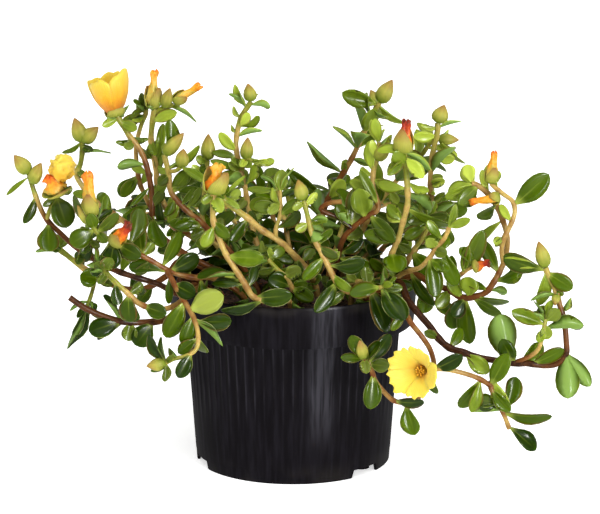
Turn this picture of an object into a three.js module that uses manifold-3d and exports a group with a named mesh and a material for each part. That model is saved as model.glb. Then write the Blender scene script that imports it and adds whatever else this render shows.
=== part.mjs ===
// A potted portulaca (purslane) with yellow flowers, standing in a black nursery pot.
// Millimetres, +Z up. The origin is on the pot's axis, on the surface that the pot stands on.
// The plant's front is towards -Y.
import * as THREE from 'three';
import { mergeVertices } from 'three/addons/utils/BufferGeometryUtils.js';
import Module from 'manifold-3d';

const wasm = await Module();
wasm.setup();

// Driving dimensions
const gap = 0.3; // air between neighbouring pieces
const rooted = 0.8; // how far a leaf or bud starts behind the stem's middle
const pot = {
  rimRadius: 60,
  rimLowRadius: 58.5,
  rimTop: 90,
  rimLow: 70,
  bodyTopRadius: 52.2,
  footRadius: 47,
  wall: 1.6,
  padRadius: 30,
  channelHeight: 4,
  floor: 2,
  segments: 32,
};
const notch = { count: 3, first: -42, width: 17, height: 4 }; // first: degrees from +X
const drain = { count: 6, circle: 38, radius: 4 };
const soil = { top: 84, crown: 85.5, segments: 24 };
const stemSides = 4;
const leafThickness = 1.7;
const bladeTilt = 15; // degrees that a front-facing blade looks up
const swingStep = 16; // degrees; a leaf that would touch a neighbour swings by this
const swings = [0, 1, -1, 2, -2, 3, -3];
const fillLeaf = { slimness: 0.48, turn: 137.5, rise: 32 }; // turn and rise in degrees

const colours = {
  plastic: 0x1c191c,
  soil: 0x3a2a20,
  leaf: 0x4a7426,
  petal: 0xf2c522,
  withered: 0xd98a2b,
};

// Shoots. Each is a list of branches, and a branch has
//   route   the points that its stem runs through, from the soil or its parent to its tip
//   girth   stem diameter at the start and at the end
//   leaves  [place along the route, tip x, y, z, blade width, turn about the blade's axis in degrees]
//   buds    [place along the route, tip x, y, z, width]
//   fill    [from, to, number, length] leaves set round the stem in a spiral
const shoots = {
  shoot_far_left: [
    {
      route: [
        [-34, -20, 80], [-40, -22, 90], [-53, -28, 97], [-54, -36, 91], [-64, -40, 97],
        [-81, -42, 103], [-92, -40, 108], [-102, -38, 114], [-109, -36, 120], [-116, -35, 127],
        [-120, -34, 135], [-123, -33, 144], [-124, -33, 149],
      ],
      girth: [3.6, 2.6],
      leaves: [
        [11.9, -136, -37, 138, 6.5, 70], [10.2, -126, -38, 126, 5, 30], [8.8, -115, -40, 113, 9.5, 0],
        [11.9, -123, -33, 155, 2, 10], [6, -99, -34, 111, 4.5, 10], [6.6, -102, -41, 107, 4, 10],
        [5, -78, -35, 108, 4.5, 10], [4.5, -72, -37, 91, 5, 10], [12, -136, -39, 138, 1.5, 10],
        [10.1, -122, -36, 143, 3, 10], [5.5, -92, -45, 101, 6.5, 10],
      ],
      buds: [[12, -131, -35, 158, 6.5], [11.1, -118, -37, 155, 6]],
    },
    {
      route: [[-116, -35, 127], [-114, -37, 133], [-111, -38, 139], [-110, -38, 142]],
      girth: [2.6, 2.2],
      leaves: [
        [1.9, -106, -45, 126, 10.5, 0], [2.3, -116, -43, 135, 3, 50], [2.5, -104, -35, 142, 3.5, 10],
      ],
    },
    {
      route: [[-92, -40, 108], [-92, -43, 114], [-95, -45, 120]],
      girth: [2.4, 2],
      leaves: [
        [1.9, -99, -48, 114, 5, 10], [2, -90, -48, 117, 4, 10], [1.5, -100, -41, 108, 5.5, 10],
      ],
    },
  ],
  shoot_left_under: [
    {
      route: [
        [-28, -2, 80], [-33, -3, 90], [-53, -7, 100], [-61, -9, 93], [-74, -9, 86], [-87, -10, 89],
        [-95, -11, 94], [-101, -12, 98], [-107, -12, 103], [-112, -12, 107],
      ],
      girth: [3.8, 3],
      leaves: [
        [8.8, -123, -14, 107, 5, 70], [5.8, -102, -19, 96, 9, 0], [5.7, -86, -15, 90, 4, 10],
        [9, -109, -8, 111, 3.5, 10], [6.9, -104, -8, 105, 4, 10], [4.3, -74, -4, 92, 5, 10],
        [3.6, -74, -12, 81, 5.5, 10],
      ],
    },
    {
      route: [[-95, -11, 93], [-96, -15, 88], [-98, -18, 82]],
      girth: [2.6, 2],
      leaves: [
        [1.7, -103, -22, 66, 4.5, 50], [2, -109, -21, 61, 5, 60],
      ],
    },
  ],
  shoot_cut_stub: [
    {
      route: [
        [-40, -30, 80], [-43, -33, 90], [-48, -41, 96], [-58, -57, 85], [-70, -58, 83], [-80, -60, 84],
        [-89, -61, 87], [-97, -62, 91], [-104, -62, 96],
      ],
      girth: [3.6, 3.4],
      leaves: [
        [5.1, -94, -66, 81, 8.5, 0], [4.6, -77, -61, 75, 7, 10], [3.7, -73, -64, 74, 9.5, 0],
        [5.1, -88, -63, 97, 6, 70],
      ],
    },
  ],
  shoot_left_fork: [
    {
      route: [
        [-21, -35, 80], [-24, -38, 91], [-37, -42, 100], [-45, -52, 103], [-53, -54, 105],
        [-59, -56, 108], [-70, -58, 115], [-83, -60, 122], [-88, -60, 125], [-92, -60, 128],
        [-94, -59, 134],
      ],
      girth: [3.2, 2.4],
      leaves: [
        [9.1, -102, -66, 123, 8.5, 10], [9.2, -87, -54, 143, 5.5, 40], [8.7, -81, -64, 136, 5.5, 30],
        [8.7, -86, -66, 123, 4.5, 10], [9.3, -101, -53, 143, 5.5, 50], [6.8, -71, -64, 116, 8, 10],
        [7, -85, -65, 111, 8.5, 0], [7.4, -91, -60, 105, 7.5, 40], [5.2, -52, -60, 125, 7.5, 50],
        [3.4, -53, -50, 113, 8, 10], [6, -72, -55, 129, 8, 10], [6.5, -71, -53, 136, 7.5, 50],
        [9, -94, -62, 137, 5.5, 10], [9.6, -84, -56, 136, 4, 10], [6, -65, -55, 120, 5, 10],
        [4.7, -44, -54, 113, 8.5, 10], [2.8, -44, -56, 89, 7.5, 10],
      ],
      buds: [[8.8, -102, -63, 139, 5.5]],
    },
    {
      route: [
        [-59, -56, 108], [-56, -59, 103], [-53, -62, 98], [-48, -66, 91], [-45, -69, 85],
        [-44, -71, 79], [-45, -73, 74], [-50, -74, 71], [-55, -75, 70], [-59, -75, 68],
      ],
      girth: [3, 2],
      leaves: [
        [1.4, -46, -65, 98, 7.5, 10], [2.5, -41, -59, 102, 8.5, 10], [3.1, -33, -71, 99, 10.5, 0],
        [2.5, -59, -66, 78, 8.5, 10], [3.5, -51, -71, 76, 6.5, 10], [3.8, -32, -74, 77, 7, 70],
        [3.8, -29, -72, 87, 7, 10], [5, -42, -67, 70, 6.5, 10], [5.3, -55, -76, 74, 5, 40],
        [7.7, -57, -76, 76, 2.5, 40], [6.7, -53, -78, 62, 6.5, 10], [9, -66, -76, 82, 6.5, 40],
        [9, -62, -70, 79, 5, 50], [8.9, -55, -79, 73, 2.5, 10], [9, -60, -78, 60, 4, 10],
        [9, -66, -73, 63, 3, 40],
      ],
      buds: [[9, -68, -78, 67, 5.5]],
    },
  ],
  shoot_left_pale: [
    {
      route: [
        [-33, -40, 80], [-36, -42, 90], [-44, -48, 97], [-55, -57, 91], [-63, -65, 91], [-71, -70, 95],
        [-75, -71, 99], [-81, -72, 105], [-85, -72, 109], [-88, -71, 112],
      ],
      girth: [3.4, 2.6],
      leaves: [
        [7.3, -81, -75, 96, 5, 10], [6.2, -70, -68, 104, 4.5, 10], [5.7, -76, -68, 86, 8.5, 0],
        [4.7, -59, -73, 91, 7, 10], [8.9, -83, -74, 118, 6, 10], [8.9, -91, -74, 116, 4.5, 10],
        [8.2, -90, -76, 106, 4, 10],
      ],
    },
  ],
  shoot_bud_pair: [
    {
      route: [
        [-26, 8, 80], [-29, 9, 90], [-47, 8, 96], [-61, 8, 103], [-74, 6, 111], [-87, 4, 121],
        [-96, 2, 128], [-101, 0, 135], [-104, 0, 141], [-102, 0, 146], [-101, 0, 152], [-101, 0, 157],
      ],
      girth: [3.4, 2.8],
      leaves: [
        [10.9, -110, -3, 152, 4, 40], [10.7, -95, -4, 154, 3.5, 10], [10, -87, -3, 154, 6, 70],
        [7.7, -108, -4, 137, 4.5, 10], [8.4, -99, -3, 140, 3.5, 10], [5.8, -102, -1, 122, 4.5, 10],
        [5, -90, 0, 115, 4.5, 10], [4, -80, 10, 119, 4.5, 10],
        [4, -69, 2, 105, 5, 10], [8.3, -107, -4, 137, 4, 10], [5.8, -90, 3, 131, 5, 10],
        [6.5, -105, -5, 133, 4, 10],
      ],
      buds: [[11, -104, 0, 169, 7.5], [11, -93, -2, 165, 6.5]],
    },
  ],
  shoot_cup_flower: [
    {
      route: [
        [-24, -6, 80], [-26, -6, 90], [-42, -10, 99], [-54, -14, 107], [-63, -17, 115],
        [-67, -18, 122], [-67, -18, 132], [-68, -18, 142], [-70, -18, 151], [-73, -18, 158],
        [-77, -18, 163], [-80, -18, 168], [-83, -18, 173],
      ],
      girth: [3.2, 3],
      leaves: [
        [11.8, -90, -21, 169, 3.5, 10], [11.5, -74, -23, 168, 5, 10], [11.9, -78, -15, 178, 2.5, 40],
        [9.8, -84, -21, 162, 3, 40], [9.6, -80, -23, 159, 4.5, 10], [10, -69, -15, 162, 3, 40],
        [7.8, -83, -21, 151, 5.5, 60], [7.4, -77, -15, 149, 4, 30], [5.8, -62, -21, 137, 4.5, 10],
        [5.3, -61, -22, 111, 7.5, 10], [5, -72, -21, 127, 5, 10], [3.5, -65, -20, 108, 5, 10],
        [6.7, -77, -24, 131, 2.5, 10],
      ],
    },
  ],
  shoot_back_pink: [
    {
      route: [
        [-24, 22, 80], [-27, 23, 90], [-43, 22, 102], [-57, 22, 109], [-68, 20, 119], [-73, 18, 129],
        [-75, 17, 136], [-76, 16, 150], [-74, 15, 160], [-71, 15, 168], [-71, 15, 170],
      ],
      girth: [3, 2.4],
      leaves: [
        [6, -83, 13, 128, 5.5, 10], [8.8, -78, 11, 166, 2.5, 40], [9.1, -73, 13, 178, 4, 30],
        [9.2, -75, 17, 174, 2.5, 50], [4, -73, 16, 114, 5, 10], [3, -63, 26, 116, 5, 10],
        [5.4, -69, 22, 137, 4.5, 10], [4.3, -83, 17, 115, 4.5, 10],
      ],
    },
  ],
  shoot_twin_withered: [
    {
      route: [
        [-20, 4, 80], [-22, 5, 90], [-39, 6, 103], [-52, 6, 111], [-61, 5, 123], [-65, 4, 134],
        [-66, 3, 145], [-68, 2, 157], [-67, 2, 168], [-66, 2, 173],
      ],
      girth: [3.2, 3.2],
      leaves: [
        [7.9, -56, -3, 172, 5.5, 10], [8.7, -69, 6, 178, 3, 10], [7, -65, -3, 151, 4.5, 10],
        [6.3, -74, 6, 152, 4.5, 10], [5.9, -59, -2, 140, 5, 10], [5.1, -70, 0, 130, 4.5, 10],
        [4, -56, 8, 128, 4.5, 10], [3, -59, 2, 108, 5, 10], [4.8, -63, 2, 114, 5, 10],
      ],
    },
    {
      route: [[-66, 2, 171], [-63, 1, 173], [-57, 0, 175]],
      girth: [2.6, 2.4],
      leaves: [
        [1.8, -45, -4, 169, 7, 70],
      ],
      buds: [[1.2, -58, -4, 184, 5.5]],
    },
  ],
  shoot_brown_twins: [
    {
      route: [
        [-16, -14, 80], [-18, -15, 90], [-30, -18, 107], [-38, -20, 116], [-44, -22, 123],
        [-49, -22, 127], [-54, -22, 132], [-58, -22, 138], [-59, -21, 147], [-61, -20, 155],
      ],
      girth: [3.2, 2.8],
      leaves: [
        [8.8, -59, -17, 171, 7, 40], [8.2, -44, -23, 159, 7.5, 60], [7.8, -48, -26, 144, 6.5, 10],
        [7.8, -64, -26, 142, 5, 10], [5.4, -43, -19, 138, 5, 30], [4.4, -56, -26, 122, 6, 10],
        [6.4, -61, -26, 127, 5, 10], [3, -45, -24, 111, 6, 10], [3, -34, -16, 123, 5, 10],
        [3.8, -58, -26, 123, 6, 10], [7.4, -64, -19, 137, 4.5, 10], [5.8, -47, -28, 140, 2.5, 10],
        [6, -59, -24, 123, 4.5, 10],
      ],
      buds: [[9, -51, -23, 166, 6.5]],
    },
    {
      route: [[-59, -21, 147], [-55, -23, 148], [-53, -24, 150]],
      girth: [2.4, 2.2],
      leaves: [
        [1.2, -49, -27, 141, 4.5, 10], [2, -41, -28, 144, 4, 10],
      ],
      buds: [[1.8, -51, -26, 159, 6.5]],
    },
  ],
  shoot_plump_bud: [
    {
      route: [
        [-10, 0, 80], [-11, 0, 90], [-28, 0, 98], [-37, 0, 106], [-42, 0, 114], [-44, 0, 122],
        [-43, 0, 131], [-42, 0, 140], [-41, 0, 148],
      ],
      girth: [3, 2.6],
      leaves: [
        [7.9, -46, -2, 151, 4, 10], [7.6, -45, -5, 144, 4.5, 10], [6.9, -48, -3, 146, 4, 10],
        [6.8, -36, -4, 133, 5, 10], [5.9, -49, -4, 127, 5, 10], [4, -49, -3, 110, 5.5, 10],
        [3.6, -34, 3, 114, 5, 10], [7.3, -48, 3, 142, 3.5, 10], [6.4, -55, 1, 133, 3.5, 10],
      ],
      buds: [[7.9, -40, 0, 161, 7]],
    },
  ],
  shoot_front_long: [
    {
      route: [
        [0, -42, 80], [-2, -46, 90], [-9, -54, 93], [-14, -59, 94], [-19, -59, 96], [-23, -60, 103],
        [-28, -60, 111], [-32, -60, 118], [-35, -60, 126], [-37, -60, 133], [-37, -60, 140],
        [-37, -60, 145],
      ],
      girth: [3.4, 3],
      leaves: [
        [3, -33, -66, 91, 8, 40], [8.6, -42, -64, 121, 6.5, 10], [8.5, -31, -63, 130, 4.5, 10],
        [6.5, -14, -64, 115, 7.5, 10], [4.6, -17, -56, 110, 4.5, 30], [3.6, -1, -63, 97, 8, 10],
        [5.2, -36, -57, 101, 5, 30], [10.7, -33, -65, 137, 5.5, 10], [10.8, -42, -63, 141, 4.5, 10],
        [5.6, -44, -63, 106, 7.5, 70], [8.8, -30, -66, 126, 6, 10], [4.9, -37, -62, 103, 3.5, 10],
      ],
    },
  ],
  shoot_spire: [
    {
      route: [
        [-8, -12, 80], [-9, -12, 90], [-13, -14, 101], [-18, -13, 112], [-20, -11, 121],
        [-22, -9, 130], [-23, -7, 137], [-25, -5, 144], [-27, -3, 153], [-27, -2, 160], [-25, -2, 169],
        [-22, -2, 174], [-20, -2, 177],
      ],
      girth: [3.2, 2.6],
      leaves: [
        [11.2, -27, -4, 186, 5, 50], [11, -30, -5, 182, 4.5, 70], [11.5, -11, -4, 175, 4, 70],
        [10, -28, -2, 175, 2.5, 30], [9.5, -21, -5, 172, 4, 10], [9.5, -16, 0, 169, 4.5, 60],
        [9, -15, -4, 164, 5, 60], [8, -35, -5, 162, 5, 50], [8, -35, 0, 159, 4, 50],
        [9.3, -29, -2, 166, 1.5, 50], [6.9, -34, -9, 140, 6, 10],
        [5.1, -27, -13, 127, 4.5, 10], [7, -31, -8, 149, 4, 10], [4, -15, -8, 126, 4.5, 10],
        [3, -23, -17, 117, 5, 10], [7.1, -38, -11, 150, 4, 10], [2.5, -2, -12, 100, 4, 10],
      ],
      buds: [[11.8, -21, -2, 186, 6]],
    },
    {
      route: [[-25, -5, 144], [-23, -7, 148], [-22, -8, 151], [-20, -9, 149]],
      girth: [2.6, 2.4],
      leaves: [
        [1.3, -25, -12, 147, 4, 10], [1.5, -20, -13, 147, 4, 10], [1.9, -12, -9, 149, 4, 60],
        [3, -20, -11, 151, 3.5, 10], [3, -9, -6, 149, 3, 10], [0.7, -30, -10, 151, 3, 10],
      ],
      buds: [[1.7, -21, -8, 161, 6]],
    },
  ],
  shoot_diagonal: [
    {
      route: [
        [12, -18, 80], [11, -20, 90], [6, -30, 102], [1, -35, 109], [-2, -38, 113], [-8, -41, 119],
        [-15, -43, 124], [-20, -45, 129], [-26, -47, 134], [-31, -48, 138], [-33, -48, 141],
      ],
      girth: [3.6, 3.4],
      leaves: [
        [7.2, -29, -49, 120, 6, 10], [4.6, -25, -44, 115, 8, 60], [9.7, -37, -45, 147, 4.5, 10],
        [9.2, -25, -44, 143, 4.5, 10], [9.4, -38, -52, 144, 4, 10], [5.9, -20, -39, 132, 5, 10],
        [2.5, -7, -37, 109, 4.5, 10], [2.5, 10, -30, 111, 5, 10], [2.9, 4, -40, 99, 7, 10],
        [10, -25, -50, 136, 3, 10], [10, -28, -45, 140, 2.5, 10], [10, -23, -52, 151, 2, 10],
        [2.1, -10, -36, 97, 9.5, 10],
      ],
    },
    {
      route: [[-8, -41, 119], [-8, -42, 124], [-6, -43, 131], [-6, -43, 138], [-6, -43, 143]],
      girth: [2.4, 2],
      leaves: [
        [1.1, 3, -46, 133, 5.5, 30], [2.1, 3, -47, 139, 5, 30], [2.7, -9, -46, 145, 4, 10],
        [3.8, -5, -44, 153, 6, 10], [3.8, -11, -40, 152, 4.5, 10], [2.5, -18, -46, 136, 6, 10],
        [4, -1, -46, 155, 5.5, 70], [2.7, -12, -48, 133, 4.5, 10], [4, -10, -42, 152, 4, 10],
        [4, -3, -49, 153, 5.5, 10], [3.9, -21, -45, 144, 3.5, 10], [3, -20, -40, 134, 6.5, 10],
      ],
    },
  ],
  shoot_front_bud: [
    {
      route: [
        [27, -34, 80], [28, -36, 90], [31, -46, 95], [26, -51, 96], [21, -53, 100], [17, -54, 108],
        [13, -54, 116], [9, -54, 124], [7, -53, 132], [5, -52, 140],
      ],
      girth: [3.4, 2.6],
      leaves: [
        [5.6, 5, -59, 104, 5.5, 10], [4.2, 11, -61, 89, 7, 30], [6.4, 18, -51, 126, 4, 10],
        [6.2, 20, -58, 114, 5.5, 10], [7.8, 16, -56, 132, 3.5, 60], [7.3, 13, -58, 123, 6.5, 10],
        [5.1, 33, -58, 112, 7, 50], [4.6, 27, -58, 98, 5, 10], [8.8, 0, -55, 136, 4, 10],
        [8.7, 11, -50, 143, 3.5, 10], [7.6, 1, -56, 127, 4.5, 10], [3.3, 17, -56, 91, 4, 10],
        [7.6, 16, -55, 131, 2, 10], [7.7, 14, -50, 123, 5.5, 10], [6.5, 18, -58, 127, 3, 10],
      ],
      buds: [[9, 2, -52, 150, 6]],
    },
  ],
  shoot_tall_right: [
    {
      route: [
        [8, 24, 80], [9, 25, 90], [12, 26, 104], [16, 26, 120], [22, 26, 132], [28, 26, 142],
        [34, 26, 155], [39, 26, 166], [42, 26, 171],
      ],
      girth: [3.4, 2.8],
      leaves: [
        [7.7, 24, 22, 177, 8, 10], [7.8, 53, 23, 161, 6, 30], [4.4, 7, 23, 152, 7, 60],
        [4.4, 26, 29, 142, 3.5, 10], [5.1, 38, 22, 141, 4, 70], [3.8, 17, 23, 134, 2.5, 10],
        [3.3, 25, 21, 133, 6.5, 10], [2.2, 20, 22, 114, 4.5, 10],
        [4.5, 25, 24, 142, 3, 10], [5.1, 38, 29, 139, 2, 10],
      ],
      buds: [[7.9, 48, 24, 183, 7], [7.7, 38, 29, 177, 5.5]],
    },
  ],
  shoot_hooked: [
    {
      route: [
        [18, -12, 80], [18, -13, 90], [20, -18, 99], [22, -21, 108], [24, -23, 115], [28, -24, 120],
        [35, -25, 126], [40, -25, 129], [40, -24, 133], [38, -23, 139], [38, -22, 147], [40, -21, 154],
        [41, -20, 161],
      ],
      girth: [3.2, 2.6],
      leaves: [
        [11.9, 37, -17, 171, 4.5, 30], [11.9, 46, -23, 166, 3, 40], [10, 36, -18, 161, 6, 40],
        [12, 49, -23, 157, 4, 40], [9.8, 32, -18, 147, 5, 10], [9.5, 46, -26, 141, 4.5, 10],
        [6.4, 51, -28, 138, 7, 50], [5.9, 31, -30, 141, 9.5, 0], [6.3, 49, -30, 115, 7, 10],
        [4, 33, -19, 117, 6.5, 10], [2.7, 37, -24, 102, 6.5, 30], [5, 22, -28, 128, 6, 10],
        [3.1, 16, -24, 104, 5, 10], [8.9, 27, -20, 142, 5.5, 10], [12, 38, -26, 172, 5, 10],
        [10.8, 37, -25, 162, 3.5, 10], [10.8, 41, -20, 142, 4, 10], [7.9, 32, -26, 148, 4.5, 10],
        [5.1, 31, -21, 139, 9.5, 10], [2.9, 33, -20, 114, 6, 10], [7, 51, -29, 137, 3.5, 10],
      ],
      buds: [[10.9, 45, -26, 162, 6]],
    },
    {
      route: [
        [28, -24, 120], [22, -25, 125], [16, -26, 128], [13, -26, 130], [17, -27, 133], [23, -28, 134],
      ],
      girth: [2.8, 2.8],
    },
  ],
  shoot_red_tip: [
    {
      route: [
        [32, -10, 80], [34, -12, 90], [42, -20, 94], [45, -25, 102], [47, -28, 109], [50, -30, 117],
        [52, -31, 125], [54, -31, 133], [54, -31, 141], [53, -31, 152], [52, -31, 159],
      ],
      girth: [3.4, 3],
      leaves: [
        [9, 48, -37, 159, 7, 10], [9.5, 61, -35, 147, 6, 10],
        [9.9, 65, -27, 150, 6.5, 70], [8.3, 64, -34, 141, 4.5, 60], [8, 40, -28, 142, 5.5, 40],
        [6.7, 73, -35, 122, 8.5, 60], [7.8, 65, -27, 129, 6, 60], [3.9, 50, -34, 97, 10.5, 0],
        [6, 45, -28, 129, 6, 10], [4.6, 56, -32, 111, 5, 10], [2.6, 37, -26, 105, 5.5, 10],
        [9.4, 44, -37, 149, 4, 10], [3.9, 51, -30, 97, 9.5, 10], [6, 45, -30, 133, 6, 10],
      ],
    },
  ],
  shoot_right_bud: [
    {
      route: [
        [36, 2, 80], [38, 2, 90], [54, 0, 98], [61, -2, 107], [66, -3, 115], [67, -4, 124],
        [66, -4, 134], [66, -4, 144], [67, -4, 153], [69, -4, 163], [69, -4, 167],
      ],
      girth: [3.2, 3],
      leaves: [
        [9.5, 61, -6, 167, 3, 50], [8.8, 58, -8, 161, 5.5, 10], [9.5, 80, -6, 169, 4.5, 70],
        [7.8, 77, -7, 150, 4.5, 40], [6.3, 73, -8, 140, 4.5, 10], [9.7, 65, -4, 170, 2, 60],
        [5.2, 75, -8, 120, 4.5, 10], [5.1, 59, -8, 121, 5, 10], [5.7, 60, -1, 127, 4, 10],
        [3.6, 56, -7, 113, 6, 10], [3.4, 71, -6, 107, 6, 10],
        [2.3, 54, 2, 108, 5.5, 10], [5.9, 68, -10, 133, 2, 10],
      ],
      buds: [[10, 72, -4, 176, 7]],
    },
  ],
  shoot_crossing: [
    {
      route: [
        [24, 14, 80], [25, 15, 90], [32, 14, 106], [39, 13, 120], [49, 11, 134], [55, 9, 142],
        [62, 7, 149], [66, 6, 155], [71, 5, 158],
      ],
      girth: [3, 2.6],
      leaves: [
        [7.7, 81, 1, 145, 7, 60], [3, 33, 16, 123, 4.5, 10], [3, 47, 10, 115, 5, 10],
        [2, 25, 17, 112, 5.5, 10], [5, 60, 6, 139, 3, 10], [3.8, 51, 8, 125, 4.5, 10],
        [2.5, 51, 16, 104, 7, 10],
      ],
      buds: [[7.8, 80, 5, 157, 5]],
    },
  ],
  shoot_right_loop: [
    {
      route: [
        [42, -16, 80], [47, -18, 90], [58, -23, 97], [65, -31, 95], [73, -35, 93], [80, -39, 90],
        [86, -41, 91], [91, -41, 93], [94, -41, 97], [97, -40, 102], [100, -39, 109], [101, -38, 117],
        [100, -37, 123], [97, -36, 131], [93, -35, 138], [87, -34, 143], [84, -34, 144],
      ],
      girth: [3.6, 2.8],
      leaves: [
        [13.4, 80, -41, 132, 6.5, 30], [12.6, 89, -40, 126, 6, 10], [12, 87, -42, 110, 7.5, 10],
        [8.3, 88, -47, 119, 9, 40], [11.4, 94, -41, 119, 3, 10], [7.4, 101, -38, 92, 4, 60],
        [15.8, 80, -31, 151, 6.5, 10], [14.7, 84, -38, 151, 4.5, 40], [14.6, 89, -32, 150, 3.5, 10],
        [14.3, 91, -30, 152, 5, 50], [15.6, 72, -38, 138, 7, 10], [15.1, 78, -41, 136, 6.5, 10],
        [5.6, 83, -44, 101, 8.5, 10], [6, 101, -45, 88, 6.5, 50], [5.9, 97, -47, 83, 6, 40],
        [5.3, 75, -45, 83, 8, 10], [5.2, 83, -44, 69, 8.5, 30], [4.6, 75, -35, 109, 7.5, 30],
        [4.2, 68, -41, 86, 6.5, 10], [5, 73, -43, 99, 5, 10], [14.5, 85, -36, 150, 4, 10],
        [12.9, 79, -42, 133, 5, 10], [12.8, 91, -38, 123, 5.5, 10], [12.4, 85, -34, 114, 5.5, 10],
        [3.4, 75, -35, 81, 6.5, 10], [9.1, 89, -37, 117, 6, 10], [8.3, 108, -38, 105, 7.5, 10],
        [16, 82, -34, 153, 7, 10], [15.9, 81, -38, 134, 8, 10],
      ],
    },
    {
      route: [
        [99, -39, 107], [98, -43, 114], [99, -44, 120], [102, -43, 126], [104, -42, 132],
        [103, -41, 137], [99, -40, 140], [95, -39, 143], [93, -38, 145],
      ],
      girth: [2.8, 2.4],
      leaves: [
        [4.6, 119, -44, 150, 9.5, 0], [3.3, 97, -40, 135, 4, 10], [6.9, 90, -34, 153, 4, 10],
        [2.2, 95, -43, 116, 3, 10],
      ],
    },
    {
      route: [[74, -35, 93], [76, -38, 98], [81, -40, 103], [85, -42, 106]],
      girth: [2.4, 2.2],
      leaves: [
        [1.5, 72, -42, 105, 4.5, 10], [1.8, 82, -46, 116, 4, 10], [1.9, 89, -45, 123, 8, 10],
      ],
    },
  ],
  shoot_right_long: [
    {
      route: [
        [37, -28, 80], [41, -31, 90], [50, -37, 97], [54, -48, 91], [59, -54, 86], [64, -58, 81],
        [68, -61, 76], [73, -63, 72], [80, -65, 70], [87, -66, 68], [94, -67, 67], [102, -68, 66],
        [110, -69, 66], [117, -69, 65], [123, -69, 66], [127, -69, 71], [127, -69, 77], [126, -68, 86],
        [124, -67, 93], [122, -66, 100], [119, -65, 106], [117, -65, 111],
      ],
      girth: [4.2, 2.4],
      leaves: [
        [14.8, 128, -74, 51, 10.5, 0], [14.9, 138, -71, 56, 7, 10], [20.5, 139, -68, 117, 9, 60],
        [20.3, 129, -69, 102, 7.5, 10], [20.8, 98, -68, 115, 8, 40], [17.7, 128, -69, 98, 2.5, 70],
        [18.8, 110, -69, 97, 5, 70], [11.1, 97, -73, 78, 7.5, 10], [11.4, 116, -65, 74, 7, 10],
        [12.3, 125, -73, 73, 6.5, 10], [10.8, 96, -64, 88, 12.5, 0], [8.1, 91, -70, 62, 7, 10],
        [7, 79, -59, 80, 5.5, 10], [6, 61, -64, 80, 4, 10], [20.9, 138, -71, 118, 3.5, 10],
        [20.6, 118, -69, 91, 7, 10], [21, 98, -65, 115, 5, 10], [20.6, 115, -65, 93, 6.5, 10],
      ],
      buds: [[20.9, 114, -66, 124, 6.5], [18.8, 121, -70, 94, 4]],
    },
    {
      route: [[103, -68, 66], [110, -71, 70], [114, -72, 74], [116, -72, 81], [117, -71, 88]],
      girth: [2.6, 2.2],
      leaves: [
        [3.7, 101, -75, 93, 6.5, 0], [3.9, 123, -74, 93, 5.5, 10], [3.5, 134, -75, 85, 7, 60],
        [3.1, 113, -76, 78, 4, 10], [3.9, 115, -68, 93, 4.5, 10], [3.5, 118, -74, 79, 5.5, 10],
      ],
    },
    {
      route: [[97, -67, 66], [95, -70, 61], [92, -71, 56], [95, -72, 49], [98, -72, 43], [101, -71, 35]],
      girth: [2.8, 2.4],
      leaves: [
        [2, 99, -77, 72, 7.5, 10], [3.3, 87, -75, 46, 4.5, 10], [2.3, 101, -76, 45, 5.5, 30],
        [4, 104, -69, 59, 7, 30], [4.1, 120, -75, 41, 7, 50], [4.9, 113, -75, 26, 8.5, 0],
        [3.8, 84, -69, 42, 5.5, 60], [1.7, 99, -71, 43, 7.5, 10],
      ],
    },
    {
      route: [[92, -71, 56], [86, -73, 60], [79, -75, 63], [71, -76, 65], [62, -75, 65]],
      girth: [2.8, 2.6],
      leaves: [
        [0.7, 83, -77, 45, 6.5, 10], [0.8, 78, -71, 45, 7, 30], [3.5, 78, -79, 72, 7, 10],
        [3.8, 66, -72, 52, 6, 40], [1.1, 89, -69, 64, 3.5, 10],
      ],
    },
  ],
  shoot_under_flower: [
    {
      route: [
        [31, -39, 80], [34, -43, 90], [41, -52, 97], [51, -62, 90], [55, -68, 85], [60, -70, 79],
        [64, -68, 72], [66, -64, 63], [65, -62, 56], [61, -63, 50], [55, -68, 47], [48, -74, 49],
        [43, -78, 54], [38, -80, 61], [36, -81, 67], [32, -82, 73],
      ],
      girth: [3.2, 2.4],
      leaves: [
        [13.5, 36, -85, 49, 8, 10], [11.2, 60, -79, 49, 7, 10], [10.3, 57, -73, 33, 8, 10],
        [14.8, 27, -83, 83, 6.5, 10], [14.8, 23, -87, 74, 4.5, 10], [14.7, 34, -87, 66, 5, 10],
        [14.7, 40, -88, 81, 6, 10], [14.5, 45, -80, 82, 7, 10], [14.4, 44, -85, 69, 6, 10],
        [5.6, 68, -64, 65, 5, 10], [3.3, 46, -68, 82, 4, 10],
      ],
      buds: [[14.9, 31, -86, 82, 5.5]],
    },
  ],
  shoot_rim_rosette: [
    {
      route: [
        [40, -6, 80], [43, -7, 90], [53, -13, 98], [57, -17, 107], [61, -19, 113], [64, -20, 120],
        [63, -20, 125],
      ],
      girth: [3, 2.4],
      leaves: [
        [5.9, 73, -24, 126, 4.5, 10], [5.8, 55, -24, 123, 5, 10], [5, 53, -25, 116, 6, 10],
        [4.2, 70, -25, 113, 6, 10], [3, 67, -22, 96, 8.5, 10], [5.9, 61, -20, 132, 4, 10],
        [5.9, 68, -18, 131, 3.5, 10], [2.2, 61, -20, 94, 5.5, 10], [2.5, 48, -12, 107, 5, 10],
        [1.2, 29, -14, 85, 8, 10],
      ],
    },
  ],
  shoot_rim_right: [
    {
      route: [
        [42, -21, 80], [45, -22, 90], [51, -31, 99], [56, -38, 103], [60, -44, 106], [64, -46, 111],
        [67, -47, 116], [71, -47, 121], [73, -47, 126],
      ],
      girth: [3, 2.2],
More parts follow.
